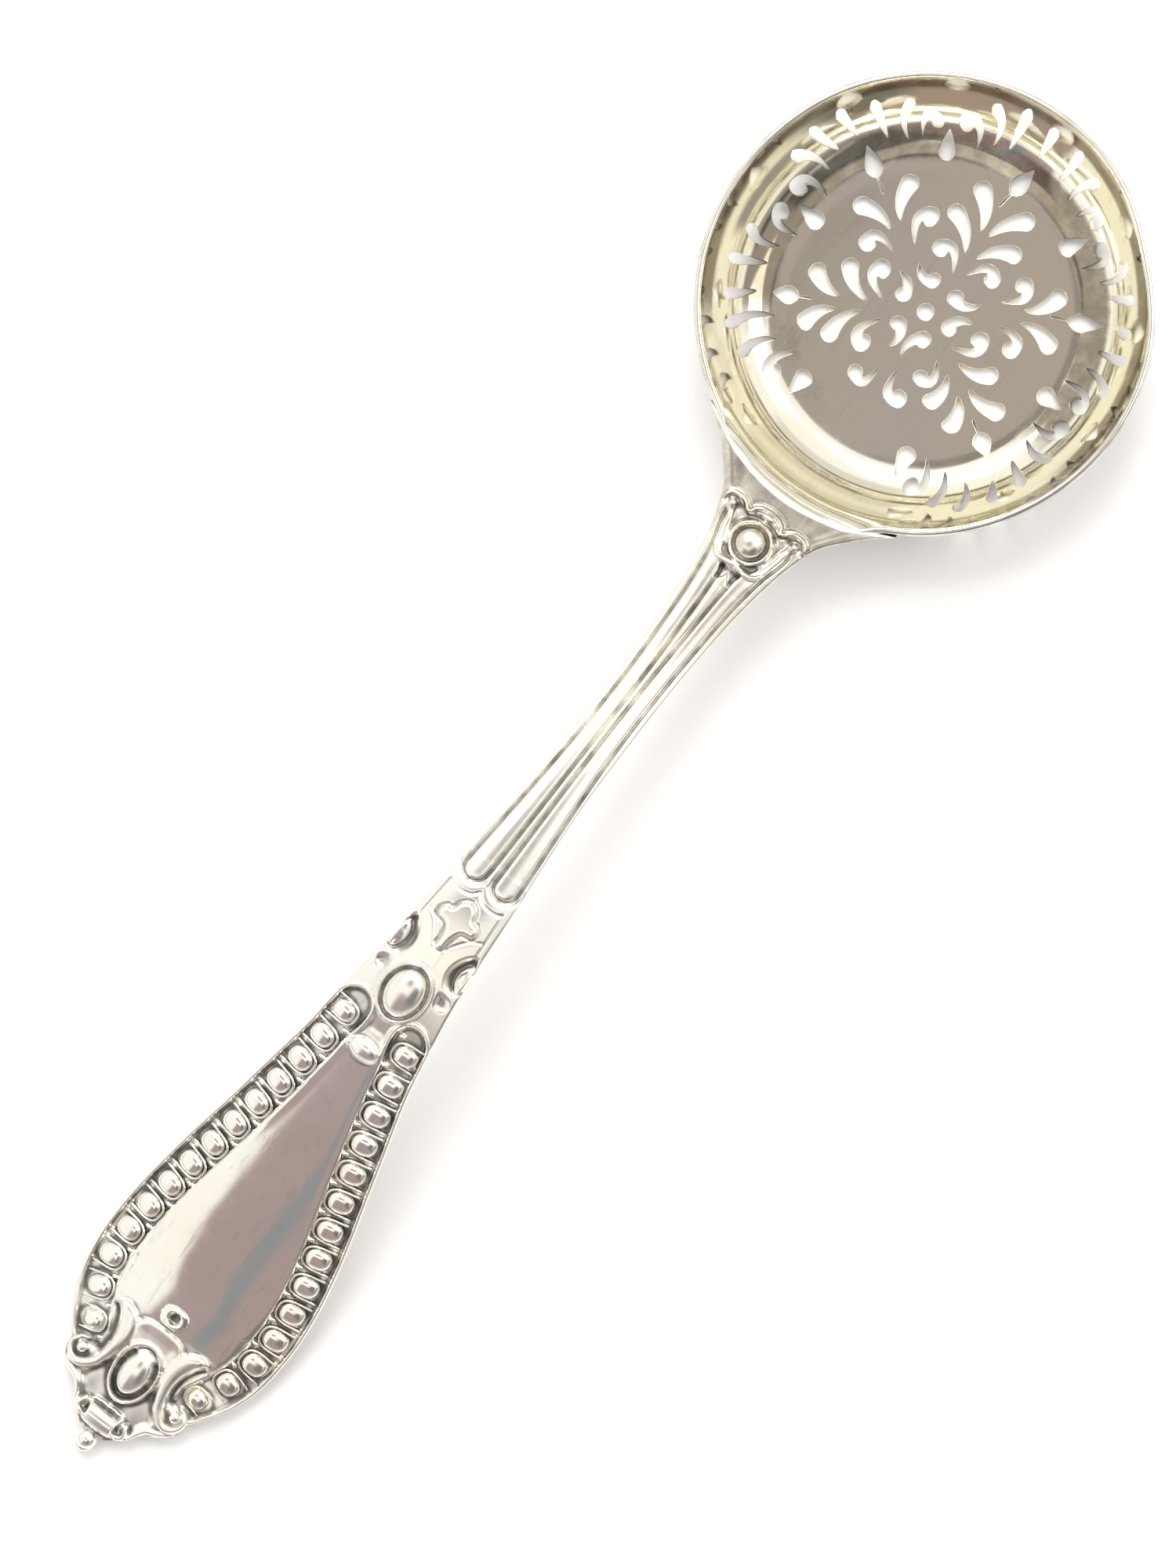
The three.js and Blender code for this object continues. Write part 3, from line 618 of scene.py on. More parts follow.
def unrolled(outline):  # from places in plan to places on the flat sheet
    middleRadius = wallRadius - spoon["sheet"] / 2 * np.sin(wallLean)
    radius = np.linalg.norm(outline, axis=1)
    reach = np.where(radius > wallReach[0], np.interp(radius, middleRadius, wallReach), radius)
    return outline * (reach / np.maximum(radius, 1e-9))[:, None]


def sheetFill(skins, edge):  # points in rings all over the flat sheet, kept clear of the openings
    reach, room, twist = bowl["fill"]
    rings = []
    while reach < edge - room:
        step = bowl["floorStep"] if reach < spoon["floorRadius"] - 0.6 else bowl["wallStep"]
        count = max(6, int(2 * math.pi * reach / max(step, 0.5)))
        rings.append(onCircle(reach, evenTurns(count) + reach * twist))
        reach += step
    fill = np.concatenate(rings)
    keep = np.ones(len(fill), bool)
    for hole in skins:
        low, high = hole.min(0) - 0.4, hole.max(0) + 0.4
        near = np.where(keep & (fill > low).all(1) & (fill < high).all(1))[0]
        if len(near):
            distance = np.linalg.norm(fill[near][:, None] - hole[None], axis=2).min(1)
            keep[near[(distance < bowl["fillClear"]) | inside(fill[near], hole)]] = False
    return fill[keep]


# The flat sheet cut into triangles between its rim and its openings: points, the given point that each one
# is, and faces.
def cutSheet(rim, skins, fill):
    points, edges, hosts = [], [], []
    for number, outline in [(-1, rim), *enumerate(skins)]:
        first, size = len(points), len(outline)
        points += [*outline]
        edges += [(first + k, first + (k + 1) % size) for k in range(size)]
        hosts += [number] * size
    points += [*fill]
    hosts += [-2] * len(fill)
    flat = [Vector(point) for point in points]
    places, _, faces, origins, _, _ = delaunay_2d_cdt(flat, edges, [], 0, 1e-7)
    plan = np.array([tuple(place) for place in places])
    given = np.array([origin[0] if len(origin) else -1 for origin in origins])
    host = np.where(given >= 0, np.array(hosts)[given], -2)
    faces = np.array([tuple(face) for face in faces])
    owner, centre = host[faces], plan[faces].mean(1)
    gone = np.zeros(len(faces), bool)
    same = (owner[:, 0] >= 0) & (owner == owner[:, :1]).all(1)
    for number, hole in enumerate(skins):
        mine = np.where(same & (owner[:, 0] == number))[0]
        gone[mine[inside(centre[mine], hole)]] = True
    faces = faces[~gone]
    a, b, c = (plan[faces[:, k]] for k in range(3))
    turned = np.cross(b - a, c - a) < 0
    faces[turned] = faces[turned][:, ::-1]
    return plan, given, faces


def bowlPiece():
    holes = [unrolled(outline if area(outline) > 0 else outline[::-1]) for outline in piercing()]
    edge, sheet, soft = sheetReach - bowl["rimRound"], spoon["sheet"], bowl["softEdge"]
    rim = onCircle(edge, evenTurns(bowl["sectors"]))
    skins = [grown(hole, soft)[0] for hole in holes]
    plan, given, faces = cutSheet(rim, skins, sheetFill(skins, edge))

    # both skins from the one flat sheet, then the rounded sides of the openings and the rim
    count = len(plan)
    inner, innerNormal = onBowl(plan, sheet)
    outer, outerNormal = onBowl(plan, 0.0)
    vertices = [*inner, *outer]
    polygons = [tuple(face) for face in faces] + [tuple(face[::-1] + count) for face in faces]
    kinds = [0] * len(faces) + [1] * len(faces)  # gilt inside, silver outside
    loopNormals = [[innerNormal[k] for k in face] for face in faces]
    loopNormals += [[-outerNormal[k] for k in face[::-1]] for face in faces]

    def addSide(top, rings, gilt, turned):  # from the inner skin over the rings to the outer skin
        loops, normals = [top], [innerNormal[top]]
        for place, normal in rings:
            loops.append([len(vertices) + k for k in range(len(top))])
            vertices.extend(place)
            normals.append(normal)
        loops.append([k + count for k in top])
        normals.append(-outerNormal[top])
        for step, (a, b, na, nb) in enumerate(zip(loops, loops[1:], normals, normals[1:])):
            for k in range(len(top)):
                n = (k + 1) % len(top)
                k, n = (n, k) if turned else (k, n)
                polygons.append((a[k], a[n], b[n], b[k]))
                loopNormals.append([na[k], na[n], nb[n], nb[k]])
                kinds.append(0 if step < gilt else 1)

    index = {int(origin): k for k, origin in enumerate(given) if origin >= 0}
    start = len(rim)
    for hole in holes:
        rings = []
        for depth in (sheet - soft, soft):
            place, normal = onBowl(hole, depth)
            # the side of an opening faces into it, square to the sheet
            flatSide = np.column_stack([-grown(hole, soft)[1], np.zeros(len(hole))])
            rings.append((place, unit(flatSide - normal * np.sum(flatSide * normal, 1)[:, None])))
        addSide([index[start + k] for k in range(len(hole))], rings, 2, False)
        start += len(hole)
    rimIndex = [index[k] for k in range(len(rim))]
    inward, outward, rings = innerNormal[rimIndex], unit(rim), []
    level = np.hypot(inward[:, 0], inward[:, 1])
    upward = np.column_stack([outward * inward[:, 2:], level])  # along the sheet, out over its edge
    for step, (beyond, share, deeper) in enumerate(bowl["rimSection"]):
        place, _ = onBowl(rim + outward * beyond, share * sheet + deeper)
        lean = math.pi * (step + 0.5) / len(bowl["rimSection"])
        rings.append((place, unit(inward * math.cos(lean) + upward * math.sin(lean))))
    addSide(rimIndex, rings, 1, True)
    piece = makeMesh("piercedGiltBowl", vertices, polygons)
    piece.data.materials.append(giltFinish)
    piece.data.materials.append(silverFinish)
    piece.data.polygons.foreach_set("material_index", kinds)
    piece.data.normals_split_custom_set([tuple(map(float, n)) for face in loopNormals for n in face])
    places = np.array(vertices) / mm - [0, bowlY, 0]
    radius = np.hypot(places[:, 0], places[:, 1])
    much, out, wide = bowl["footDirt"]
    hollow = much * bell(radius - spoon["floorRadius"] - out, wide)
    hollow[2 * count :] += bowl["edgeDirt"]
    setAttribute(piece, "hollow", hollow)
    # painted dark and brown reflections, with some worn gilding, round the foot of the wall
    setAttribute(piece, "wearAndPaintedReflection", wearAndReflectionOf(places))
    return piece


# Painted dark and brown reflections, with some worn gilding, mostly round the foot of the wall and away from
# the handle. For each place:
# degrees from and to, their softness, radius from and to, the softness of its start, how much.
wearAndReflection = {
    "dark": [(95, 172, 14, 16.1, 19.6, 0.3, 0.62), (172, 218, 12, 16.1, 19.4, 0.3, 1.0),
             (88, 176, 12, 16.1, 17.7, 0.3, 0.26)],
    "brown": [(-40, 100, 16, 16.15, 19.2, 0.25, 0.9), (345, 400, 12, 16.15, 19.2, 0.25, 0.9)],
    "grey": [(205, 262, 14, 13.2, 16.9, 1.4, 0.32)],
}


# share of painted reflection and worn gilding at each place on the bowl
def wearAndReflectionOf(places):
    radius = np.hypot(places[:, 0], places[:, 1])
    angle = np.degrees(np.arctan2(places[:, 1], places[:, 0])) % 360

    def patch(low, high, soft, near, far, blur, amount):
        around = ramp(angle, low - soft, low + soft) * (1 - ramp(angle, high - soft, high + soft))
        outer = 1 - ramp(radius, far - 0.25, far + 0.25)
        return amount * around * ramp(radius, near - blur, near + blur) * outer

    return np.clip(np.maximum.reduce([sum(patch(*each) for each in kind) for kind in wearAndReflection.values()]), 0, 1)


bowlObject = bowlPiece()
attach(bowlObject, "root")
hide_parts("pierced_bowl")
print("bowl pierced:", len(bowlObject.data.polygons), "faces")


# Handle: outline, arch and thickness. Near the bowl places count out from the rim, further on back from the
# end.

handle = {
    "halfWidth": (
        [(-4, 12.9), (-3, 11.9), (-1.4, 9.9), (0.8, 7.7), (2.9, 6.0), (4.9, 5.2), (7.5, 4.45), (11, 3.85),
         (16, 3.3)],
        [(104.6, 2.94), (96.6, 2.95), (88.6, 3.15), (78.3, 4.03), (73.6, 4.4), (68.9, 4.76), (64.2, 5.3),
         (59.3, 6.0), (54.4, 6.72), (47.6, 8.19), (42.6, 9.24), (37.6, 10.38), (32.6, 11.35), (27.6, 12.1),
         (22.6, 12.4), (17.6, 12.05), (14.6, 11.2), (12.6, 10.2), (10.6, 8.95), (9.2, 8.0), (8.2, 7.9),
         (7.3, 7.5), (6.3, 6.6), (5.6, 5.5), (5.0, 4.6), (4.3, 4.1), (3.5, 3.55), (2.8, 2.6), (2.3, 1.9)],
    ),
    "upperFace": (
        [(-6, 9.75), (0, 9.9), (8, 10.5), (20, 11.5)],
        [(92.6, 14.3), (80.6, 15.9), (72.6, 16.4), (64.6, 15.9), (54.6, 13.9), (42.6, 10.2), (30.6, 6.3),
         (22.6, 4.3), (14.6, 3.2), (6.6, 2.5), (2.3, 2.3)],
    ),
    "thickness": (
        [(-6, 6.6), (0, 5), (4, 3.8), (10, 3.3)],
        [(96.6, 2.9), (72.6, 2.5), (52.6, 2.1), (28.6, 1.8), (2.3, 1.7)],
    ),
    # the old spoon isn't quite straight: sideways wander of its middle line
    "wander": [(20, 0.1), (30, 0.38), (36, 0.36), (44, 0.26), (60, 0.1), (75, 0.0), (85, -0.15), (90, -0.22),
               (98, -0.14), (105, 0.04), (112, 0.18), (120, 0.26), (128, 0.22), (136, 0.08), (153, 0.0)],
    "head": 24.4,  # radius of the edge that lies on the bowl's lip
    "headDrop": 3.5,  # how much further in the head reaches at its sides
    "headSettle": 8.5,  # length over which the sections straighten from the bowl's curve
    "wallGap": 0.04,  # between the head and the bowl's wall
    # round the edge and across the plain back: share of the half-width, share of the way down
    "back": [(1.0, 0.16), (0.995, 0.34), (0.97, 0.52), (0.90, 0.68), (0.76, 0.82), (0.56, 0.92), (0.30, 0.98),
             (0.0, 1.0)],
    # places of the sections, close together where the relief is fine: from, to, how many
    "sections": [(0.0, 2.0, 14), (2.0, 11.5, 84), (11.5, 48.0, 66), (48.0, 52.0, 34), (52.0, 73.5, 168),
                 (73.5, 108.0, 165), (108.0, 125.95, 144), (125.95, 126.1, 2)],
    "reedEnd": 76.3,  # back from the end
    "edgeRound": 0.28,
    "edgeRim": 0.45,
    "channelDepth": 0.55,
    "panelCrown": 0.0092,  # per millimetre across, squared
    # how far the crown's top lies to one side: places along, distances
    "panelSway": ([98, 101, 108, 115, 122, 128, 131.5, 135], [1.2, 1.3, 0.6, 0.0, -0.4, 0.0, 1.0, 0.5]),
}


def profile(name):
    near, far = handle[name]
    knots = [(spoon["bowlRadius"] + place, value) for place, value in near]
    knots += [(handleEnd - place, value) for place, value in far]
    curve = smoothLine(knots, 16)
    return lambda v: np.interp(v, curve[:, 0], curve[:, 1])


def smoothLine(points, steps=8):  # curve through points
    knots = np.array(points, float)
    result = []
    for k in range(len(knots) - 1):
        p0, p1, p2, p3 = (knots[min(max(k + j, 0), len(knots) - 1)] for j in (-1, 0, 1, 2))
        share = np.linspace(0, 1, steps + 1)[:-1, None]
        lean0, lean1 = (p2 - p0) / 2, (p3 - p1) / 2
        cube, square = 2 * p1 - 2 * p2 + lean0 + lean1, -3 * p1 + 3 * p2 - 2 * lean0 - lean1
        result.append(cube * share**3 + square * share**2 + lean0 * share + p1)
    return np.concatenate([*result, knots[-1:]])


halfWidth, upperFace, thickness = profile("halfWidth"), profile("upperFace"), profile("thickness")
wanderLine = smoothLine(handle["wander"])


def wander(v):
    return np.interp(v, wanderLine[:, 0], wanderLine[:, 1])


# Shapes that the relief is put together from. x is across, v along, heights are in millimetres.

def toLine(x, v, line):  # distance to a line, and how far along it the nearest place is
    best = np.full(x.shape, 1e9)
    at = np.zeros(x.shape)
    line = np.array(line, float)
    lengths = np.hypot(*(line[1:] - line[:-1]).T)
    total, run = lengths.sum(), 0.0
    for (x1, v1), (x2, v2), length in zip(line[:-1], line[1:], lengths):
        share = np.clip(((x - x1) * (x2 - x1) + (v - v1) * (v2 - v1)) / (length**2 + 1e-12), 0, 1)
        distance = np.hypot(x - x1 - share * (x2 - x1), v - v1 - share * (v2 - v1))
        closer = distance < best
        best = np.where(closer, distance, best)
        at = np.where(closer, (run + share * length) / total, at)
        run += length
    return best, at


def within(x, v, points, steps=5):  # distance inside a closed smooth outline, negative outside it
    outline = smoothLine([*points, points[0]], steps)
    distance, _ = toLine(x, v, outline)
    flat = np.stack([x.ravel(), v.ravel()], 1)
    return np.where(inside(flat, outline[:-1]).reshape(x.shape), distance, -distance)


def over(base, feature):  # a raised feature laid on the base
    return np.where(feature > 0, np.maximum(base, feature), base)


def dome(x, v, cx, cv, rx, rv, height):
    return height * np.sqrt(np.clip(1 - ((x - cx) / rx) ** 2 - ((v - cv) / rv) ** 2, 0, 1))


def ringDistance(x, v, cx, cv, rx, rv):
    share = np.hypot((x - cx) / rx, (v - cv) / rv)
    return np.abs(share - 1) * np.hypot(x - cx, v - cv) / np.maximum(share, 1e-6)


def ring(x, v, cx, cv, rx, rv, wide, height):  # a raised oval wire
    return height * roundTop(ringDistance(x, v, cx, cv, rx, rv) / wide)


def ringGroove(x, v, cx, cv, rx, rv, wide, depth):
    return -depth * bell(ringDistance(x, v, cx, cv, rx, rv), wide)


def wire(x, v, line, wide, height):  # a raised line, its half-width one number or a list along it
    distance, at = toLine(x, v, line)
    width = wide if np.isscalar(wide) else np.interp(at, np.linspace(0, 1, len(wide)), wide)
    return height * roundTop(distance / width)


def groove(x, v, line, wide, depth):
    distance, at = toLine(x, v, line)
    ends = ramp(at, -0.04, 0.06) * (1 - ramp(at, 0.94, 1.04))
    return -depth * ends * bell(distance, wide)


def sunk(x, v, points, depth, soft):  # a hollow with a rounded edge
    return -depth * ramp(within(x, v, points), -0.06, soft)


# The base with features on it, in turn and alike on both sides. Raised ones are laid on it, others cut in.
def carved(base, x, v, features):
    for shape, *values in features:
        height = shape(np.abs(x), v, *values)
        base = over(base, height) if shape in (dome, ring, wire) else base + height
    return base


# Stem: two rounded reeds with a fine fillet between them, dark grooves beside them and round lower ends.

stem = {
    "outerGroove": [(28.6, 4.12), (30, 3.98), (31.5, 3.58), (33, 3.2), (35, 2.88), (37.5, 2.6), (40, 2.44),
                    (44, 2.24), (48, 2.12), (54, 2.12), (60, 2.34), (66, 2.72), (72, 3.14), (77, 3.42)],
    "middleGroove": [(33.6, 1.0), (35.2, 0.86), (37, 0.72), (40, 0.62), (48, 0.42), (56, 0.40), (64, 0.46),
                     (72, 0.54), (77, 0.6)],
    "grooveHalf": 0.17,
    "grooveDepth": 0.42,
    "reedHeight": 0.24,
    "filletHeight": 0.12,
}
outerGroove, middleGroove = smoothLine(stem["outerGroove"]), smoothLine(stem["middleGroove"])


def stemRelief(x, v):
    side = np.abs(x)
    outer = np.interp(v, outerGroove[:, 0], outerGroove[:, 1])
    inner = np.interp(v, middleGroove[:, 0], middleGroove[:, 1])
    end = handleEnd - handle["reedEnd"] - 1.2
    middle, half = (outer + inner) / 2, (outer - inner) / 2
    past = np.clip(v - (end - half), 0, None)
    across = np.hypot(side - middle, past) - half  # distance out of the reed
    started = np.where(side > middle, ramp(v, 28.5, 29.4), ramp(v, 33.4, 34.2))
    before = 1 - ramp(v, end + 0.5, end + 1.0)
    cut = stem["grooveDepth"] * bell(across, stem["grooveHalf"]) * started * before
    crown = stem["reedHeight"] * roundTop(np.clip(across + half, 0, None) / half)
    onReed = (across < 0) * ramp(v, 31.5, 34.5)
    second = 0.22 * bell(across - 0.42, 0.11) * ramp(v, end - 2.4, end - 0.6) * before
    between = ramp(v, 34, 34.6) * (1 - ramp(v, end - 1, end))
    fillet = stem["filletHeight"] * np.exp(-((side / 0.2) ** 4)) * between
    return crown * onReed - 0.06 * onReed - cut - second + fillet


# Cap on the shoulder: three lobes edged with a double line, a round boss in a ring, small volutes, a bracket,
# and dark sunk ground between them.

capBoss = 30.3
cap = {
    "lobes": smoothLine([(5.2, 27.75), (4.75, 27.05), (3.8, 26.75), (2.85, 26.95), (2.1, 27.6), (1.75, 27.0),
                         (1.0, 26.55), (0, 26.42)]),
    "ground": [
        (sunk, [(0.02, 27.75), (1.0, 27.5), (1.9, 28.0), (2.6, 27.75), (3.3, 27.5), (3.45, 28.5), (3.1, 29.4),
                (2.8, 30.6), (2.5, 31.4), (2.45, 30.0), (2.1, 28.9), (1.3, 28.2), (0.02, 27.95)], 0.34, 0.16),
        (sunk, [(0.35, 32.72), (1.1, 32.35), (1.9, 31.8), (2.3, 32.1), (1.9, 32.8), (1.1, 32.92)], 0.3, 0.14),
    ],
    "features": [
        (groove, [(0.8, 27.3), (0.35, 27.55), (0, 27.9)], 0.13, 0.28),
        (ring, 0, capBoss, 2.16, 2.14, 0.24, 0.40),
        (ringGroove, 0, capBoss, 1.82, 1.8, 0.17, 0.42),
        (dome, 0, capBoss, 1.6, 1.6, 0.85),
        (dome, 4.0, 28.05, 0.46, 0.46, 0.36),
        (groove, smoothLine([(3.35, 28.3), (3.42, 27.7), (3.95, 27.42), (4.5, 27.6), (4.62, 28.1)]),
         0.12, 0.25),
        (wire, smoothLine([(2.9, 32.5), (2.3, 33.15), (1.5, 33.32), (0.75, 33.22), (0, 33.05)]),
         [0.14, 0.2, 0.3, 0.33, 0.36], 0.34),
        (wire, smoothLine([(2.7, 32.8), (3.1, 31.6), (3.45, 30.2), (3.7, 29.0)]), 0.13, 0.16),
        (sunk, [(0.02, 33.72), (0.75, 33.72), (1.35, 33.68), (0.95, 34.4), (0.78, 35.3), (0.3, 34.9),
                (0.02, 34.3)], 0.32, 0.14),
    ],
}


def capRelief(x, v):
    side, lobes = np.abs(x), cap["lobes"]
    edge = np.interp(side, lobes[::-1, 0], lobes[::-1, 1])
    distance, _ = toLine(side, v, lobes)
    below = np.where(v > edge, distance, -distance)
    result = carved(-0.16 * bell(below + 0.16, 0.14), x, v, cap["ground"])
    result = result - 0.16 * bell(below - 0.46, 0.10) * (v < 28.6)
    result = over(result, 0.34 * roundTop((below - 0.16) / 0.22) * (side < 5.2) * (v < 29))
    return carved(result, x, v, cap["features"])


# Neck: cusped line, trefoil leaf, a pocket with a leaf on each side, framed oval boss, and the bead under it.

neckBoss = 88.35
neck = {
    "shift": 0.35,  # the die sat a little further along than drawn
    "cusps": smoothLine([(0, 75.05), (0.4, 75.6), (1.0, 76.0), (2.0, 76.15), (2.8, 76.05), (3.35, 75.75)]),
    "leaf": [(0, 76.5), (0.62, 76.75), (1.06, 77.25), (1.3, 77.95), (1.5, 78.12), (2.0, 78.2), (2.48, 78.85),
             (2.36, 79.55), (1.95, 79.8), (1.15, 79.95), (0.78, 80.5), (0.6, 81.3), (0.52, 82.4), (0, 82.6)],
    "pocket": [
        (groove, smoothLine([(3.4, 79.35), (2.6, 79.75), (1.95, 80.3), (1.15, 81.4), (0.62, 82.4)]),
         0.10, 0.22),
        (sunk, [(3.95, 80.75), (3.3, 81.1), (2.6, 82.0), (2.18, 83.2), (2.3, 84.5), (3.0, 85.5), (4.0, 85.75),
                (4.6, 85.3), (4.55, 83.2), (4.35, 81.2)], 0.62, 0.6),
    ],
    "petal": [(4.05, 81.7), (3.5, 82.3), (3.2, 83.3), (3.42, 84.5), (4.1, 85.3), (4.62, 84.9), (4.6, 83.0)],
    "vein": [
        (groove, smoothLine([(4.2, 82.7), (3.72, 83.3), (3.7, 84.2), (4.15, 84.9)]), 0.12, 0.26),
        (sunk, [(2.75, 86.1), (3.6, 85.95), (4.5, 86.4), (4.7, 87.3), (4.0, 87.9), (3.1, 87.6)], 0.30, 0.7),
    ],
    "boss": [
        (ring, 0, neckBoss, 2.55, 3.4, 0.2, 0.36),
        (ringGroove, 0, neckBoss, 2.27, 3.0, 0.13, 0.36),
        (dome, 0, neckBoss, 2.12, 2.78, 1.15),
        (dome, 0, 96.0, 1.85, 1.2, 0.8),
    ],
}


def neckRelief(x, v):
    side = np.abs(x)
    rim = halfWidth(v) - side  # distance in from the edge
    v = v - neck["shift"]
    inset = 0.14 * bell(rim - 0.85, 0.09) * ramp(v, 75.6, 76.1) * (1 - ramp(v, 80.2, 81.0))
    near = within(x, v, [*neck["leaf"], *[(-a, b) for a, b in neck["leaf"][::-1][1:-1]]])
    result = groove(side, v, neck["cusps"], 0.10, 0.2) - inset + 0.24 * ramp(near, -0.02, 0.5)
    result = result - 0.30 * bell(near + 0.05, 0.11) * (1 - ramp(v, 81.6, 82.5))
    result = carved(result, x, v, neck["pocket"])
    inPetal = within(side, v, neck["petal"])
    result = result + 0.5 * ramp(inPetal, -0.05, 0.35) - 0.16 * bell(inPetal + 0.08, 0.1)
    result = carved(result, x, v, neck["vein"])
    result = result - 0.34 * bell(v - 93.3, 1.1) * (1 - ramp(side, 0.9, 1.7))
    return carved(result, x, v, neck["boss"])


# Border: the sunk channel, and eggs in arches along it with a leaf tip between neighbours.

border = {
    "eggs": 14,
    "path": [(94.2, 4.05), (98, 4.5), (101.5, 5.07), (105, 5.68), (108.5, 6.4), (112, 7.1), (115.5, 7.86),
             (119, 8.6), (122.5, 9.25), (126, 9.75), (129.8, 10.0), (133.5, 9.82), (137, 8.8), (140.3, 7.15)],
    "eggWide": 1.50,
    "eggLong": 1.26,
    "eggHeight": 0.85,
    "eggLifts": (-0.12, 0.0, 0.12, 0.26, 0.42, 0.58, 0.73, 0.86, 0.95, 0.995),  # its rings, as shares of that
    "lift": 0.06,  # of the whole border above the channel's floor
    "arch": 0.14,  # radius of the raised line round an egg
    "archGap": 0.30,
    "panelSide": 2.02,  # from the eggs' middle line to the panel
}
eggLine = smoothLine(border["path"])


def eggCentre(v):
    return np.interp(v, eggLine[:, 0], eggLine[:, 1])


def channelInset(x, v):  # distance inside the channel, whose start is rounded like an arch
    side = np.abs(x)
    fromRim = halfWidth(v) - handle["edgeRim"] - side
    fromPanel = side - (eggCentre(v) - border["panelSide"]) + 0.34 * (1 - ramp(v, 93, 97))
    half = np.clip((fromRim + fromPanel) / 2, 0.1, None)
    offMiddle = np.abs(fromRim - fromPanel) / 2 / half
    beforeStart = np.clip(93.0 - v, 0, None) / 1.9
    return np.minimum(half * (1 - np.hypot(offMiddle, beforeStart)), 143.4 - v)


def channelShare(x, v):  # 0 outside the channel, 1 on its floor
    return ramp(channelInset(x, v), -0.06, 0.2)


# Crest: scalloped plate, two scrolls that end in volutes, framed oval boss, cushion, small scrolls, annulet.

crestBoss, annulet = 142.1, 134.45
crest = {
    "lobe": [(-3.15, 137.05), (-2.5, 136.3), (-1.6, 136.02), (0, 135.95), (1.6, 136.02), (2.5, 136.3),
             (3.15, 137.05), (3.0, 138.6), (2.5, 139.9), (-2.5, 139.9), (-3.0, 138.6)],
    "wing": [(3.15, 137.05), (3.6, 136.45), (4.4, 136.05), (5.2, 135.95), (5.95, 136.2), (6.1, 136.65),
             (5.5, 137.2), (5.0, 138.0), (4.3, 139.0), (3.3, 139.4), (3.0, 138.4)],
    "ground": [(0, 138.5), (2.2, 138.5), (3.2, 139.6), (3.3, 141.6), (3.7, 143.4), (4.5, 145.0),
               (4.8, 145.9), (3.9, 147.0), (3.4, 148.9), (2.4, 149.7), (0, 149.7)],
    "scrolls": [
        (wire, smoothLine([(5.0, 136.75), (4.3, 137.3), (3.78, 138.15), (3.46, 139.3), (3.42, 140.3),
                           (3.62, 141.6), (3.86, 142.6), (4.3, 143.75), (5.15, 144.65), (6.1, 145.1),
                           (7.05, 144.65), (7.55, 143.6), (7.15, 142.62), (6.4, 142.3)]),
         [0.8, 1.15, 1.2, 1.05, 0.92, 0.78, 0.68, 0.62, 0.58, 0.54, 0.46, 0.38, 0.3, 0.24], 0.62),
        (dome, 6.4, 143.45, 0.72, 0.72, 0.6),
    ],
    "boss": [
        (groove, smoothLine([(6.35, 137.1), (5.6, 137.9), (5.0, 139.0), (4.75, 140.4), (4.8, 141.6),
                             (5.2, 142.6)]), 0.34, 0.5),
        (ring, 0, crestBoss, 2.42, 3.66, 0.3, 0.52),
        (ringGroove, 0, crestBoss, 2.02, 3.12, 0.18, 0.42),
        (dome, 0, crestBoss, 1.76, 2.72, 1.15),
        (wire, smoothLine([(0, 146.95), (1.0, 146.95), (1.75, 147.05), (2.2, 147.6), (2.3, 148.5)]),
         0.16, 0.24),
    ],
    "cushion": [(-0.2, 147.5), (1.95, 147.5), (1.85, 148.7), (2.05, 149.85), (-0.2, 149.95)],
    "hooks": [
        (wire, smoothLine([(2.55, 147.6), (2.95, 148.2), (3.0, 149.0), (2.5, 149.3)]),
         [0.2, 0.26, 0.34, 0.42], 0.5),
        (wire, smoothLine([(7.3, 145.3), (5.9, 146.2), (4.75, 146.7), (4.15, 147.6), (3.7, 148.6),
                           (3.1, 149.4)]), [0.2, 0.26, 0.3, 0.26, 0.26, 0.26], 0.24),
        (ring, 0, annulet, 0.93, 0.93, 0.26, 0.34),
    ],
}


def crestRelief(x, v):
    side = np.abs(x)
    lobe = within(x, v, crest["lobe"])
    result = -0.30 * ramp(within(side, v, crest["ground"]), -0.1, 0.5)
    result = over(result, 0.36 * ramp(lobe, -0.03, 0.24) - 0.10 * ramp(lobe, 0.5, 1.6))
    result = over(result, 0.42 * ramp(within(side, v, crest["wing"]), -0.03, 0.5))
    result = result - 0.22 * bell(lobe + 0.02, 0.1) * (v < 138.4)
    result = carved(result, x, v, crest["scrolls"])
    curl = ringGroove(side, v, 6.4, 143.45, 0.84, 0.84, 0.11, 0.42)
    result = result + curl * ramp(np.hypot(side - 5.7, v - 142.6), 0.5, 1.0)
    result = carved(result, x, v, crest["boss"])
    cushion = within(side, v, crest["cushion"], 3)
    across = np.clip((v - 147.4) / 2.6, 0, 1)
    result = over(result, ramp(cushion, -0.03, 0.22) * (0.2 + 0.75 * np.sin(np.pi * across) ** 0.7))
    result = carved(result, x, v, crest["hooks"])
    return result - 0.34 * ramp(0.72 - np.hypot(x, v - annulet), -0.1, 0.12)


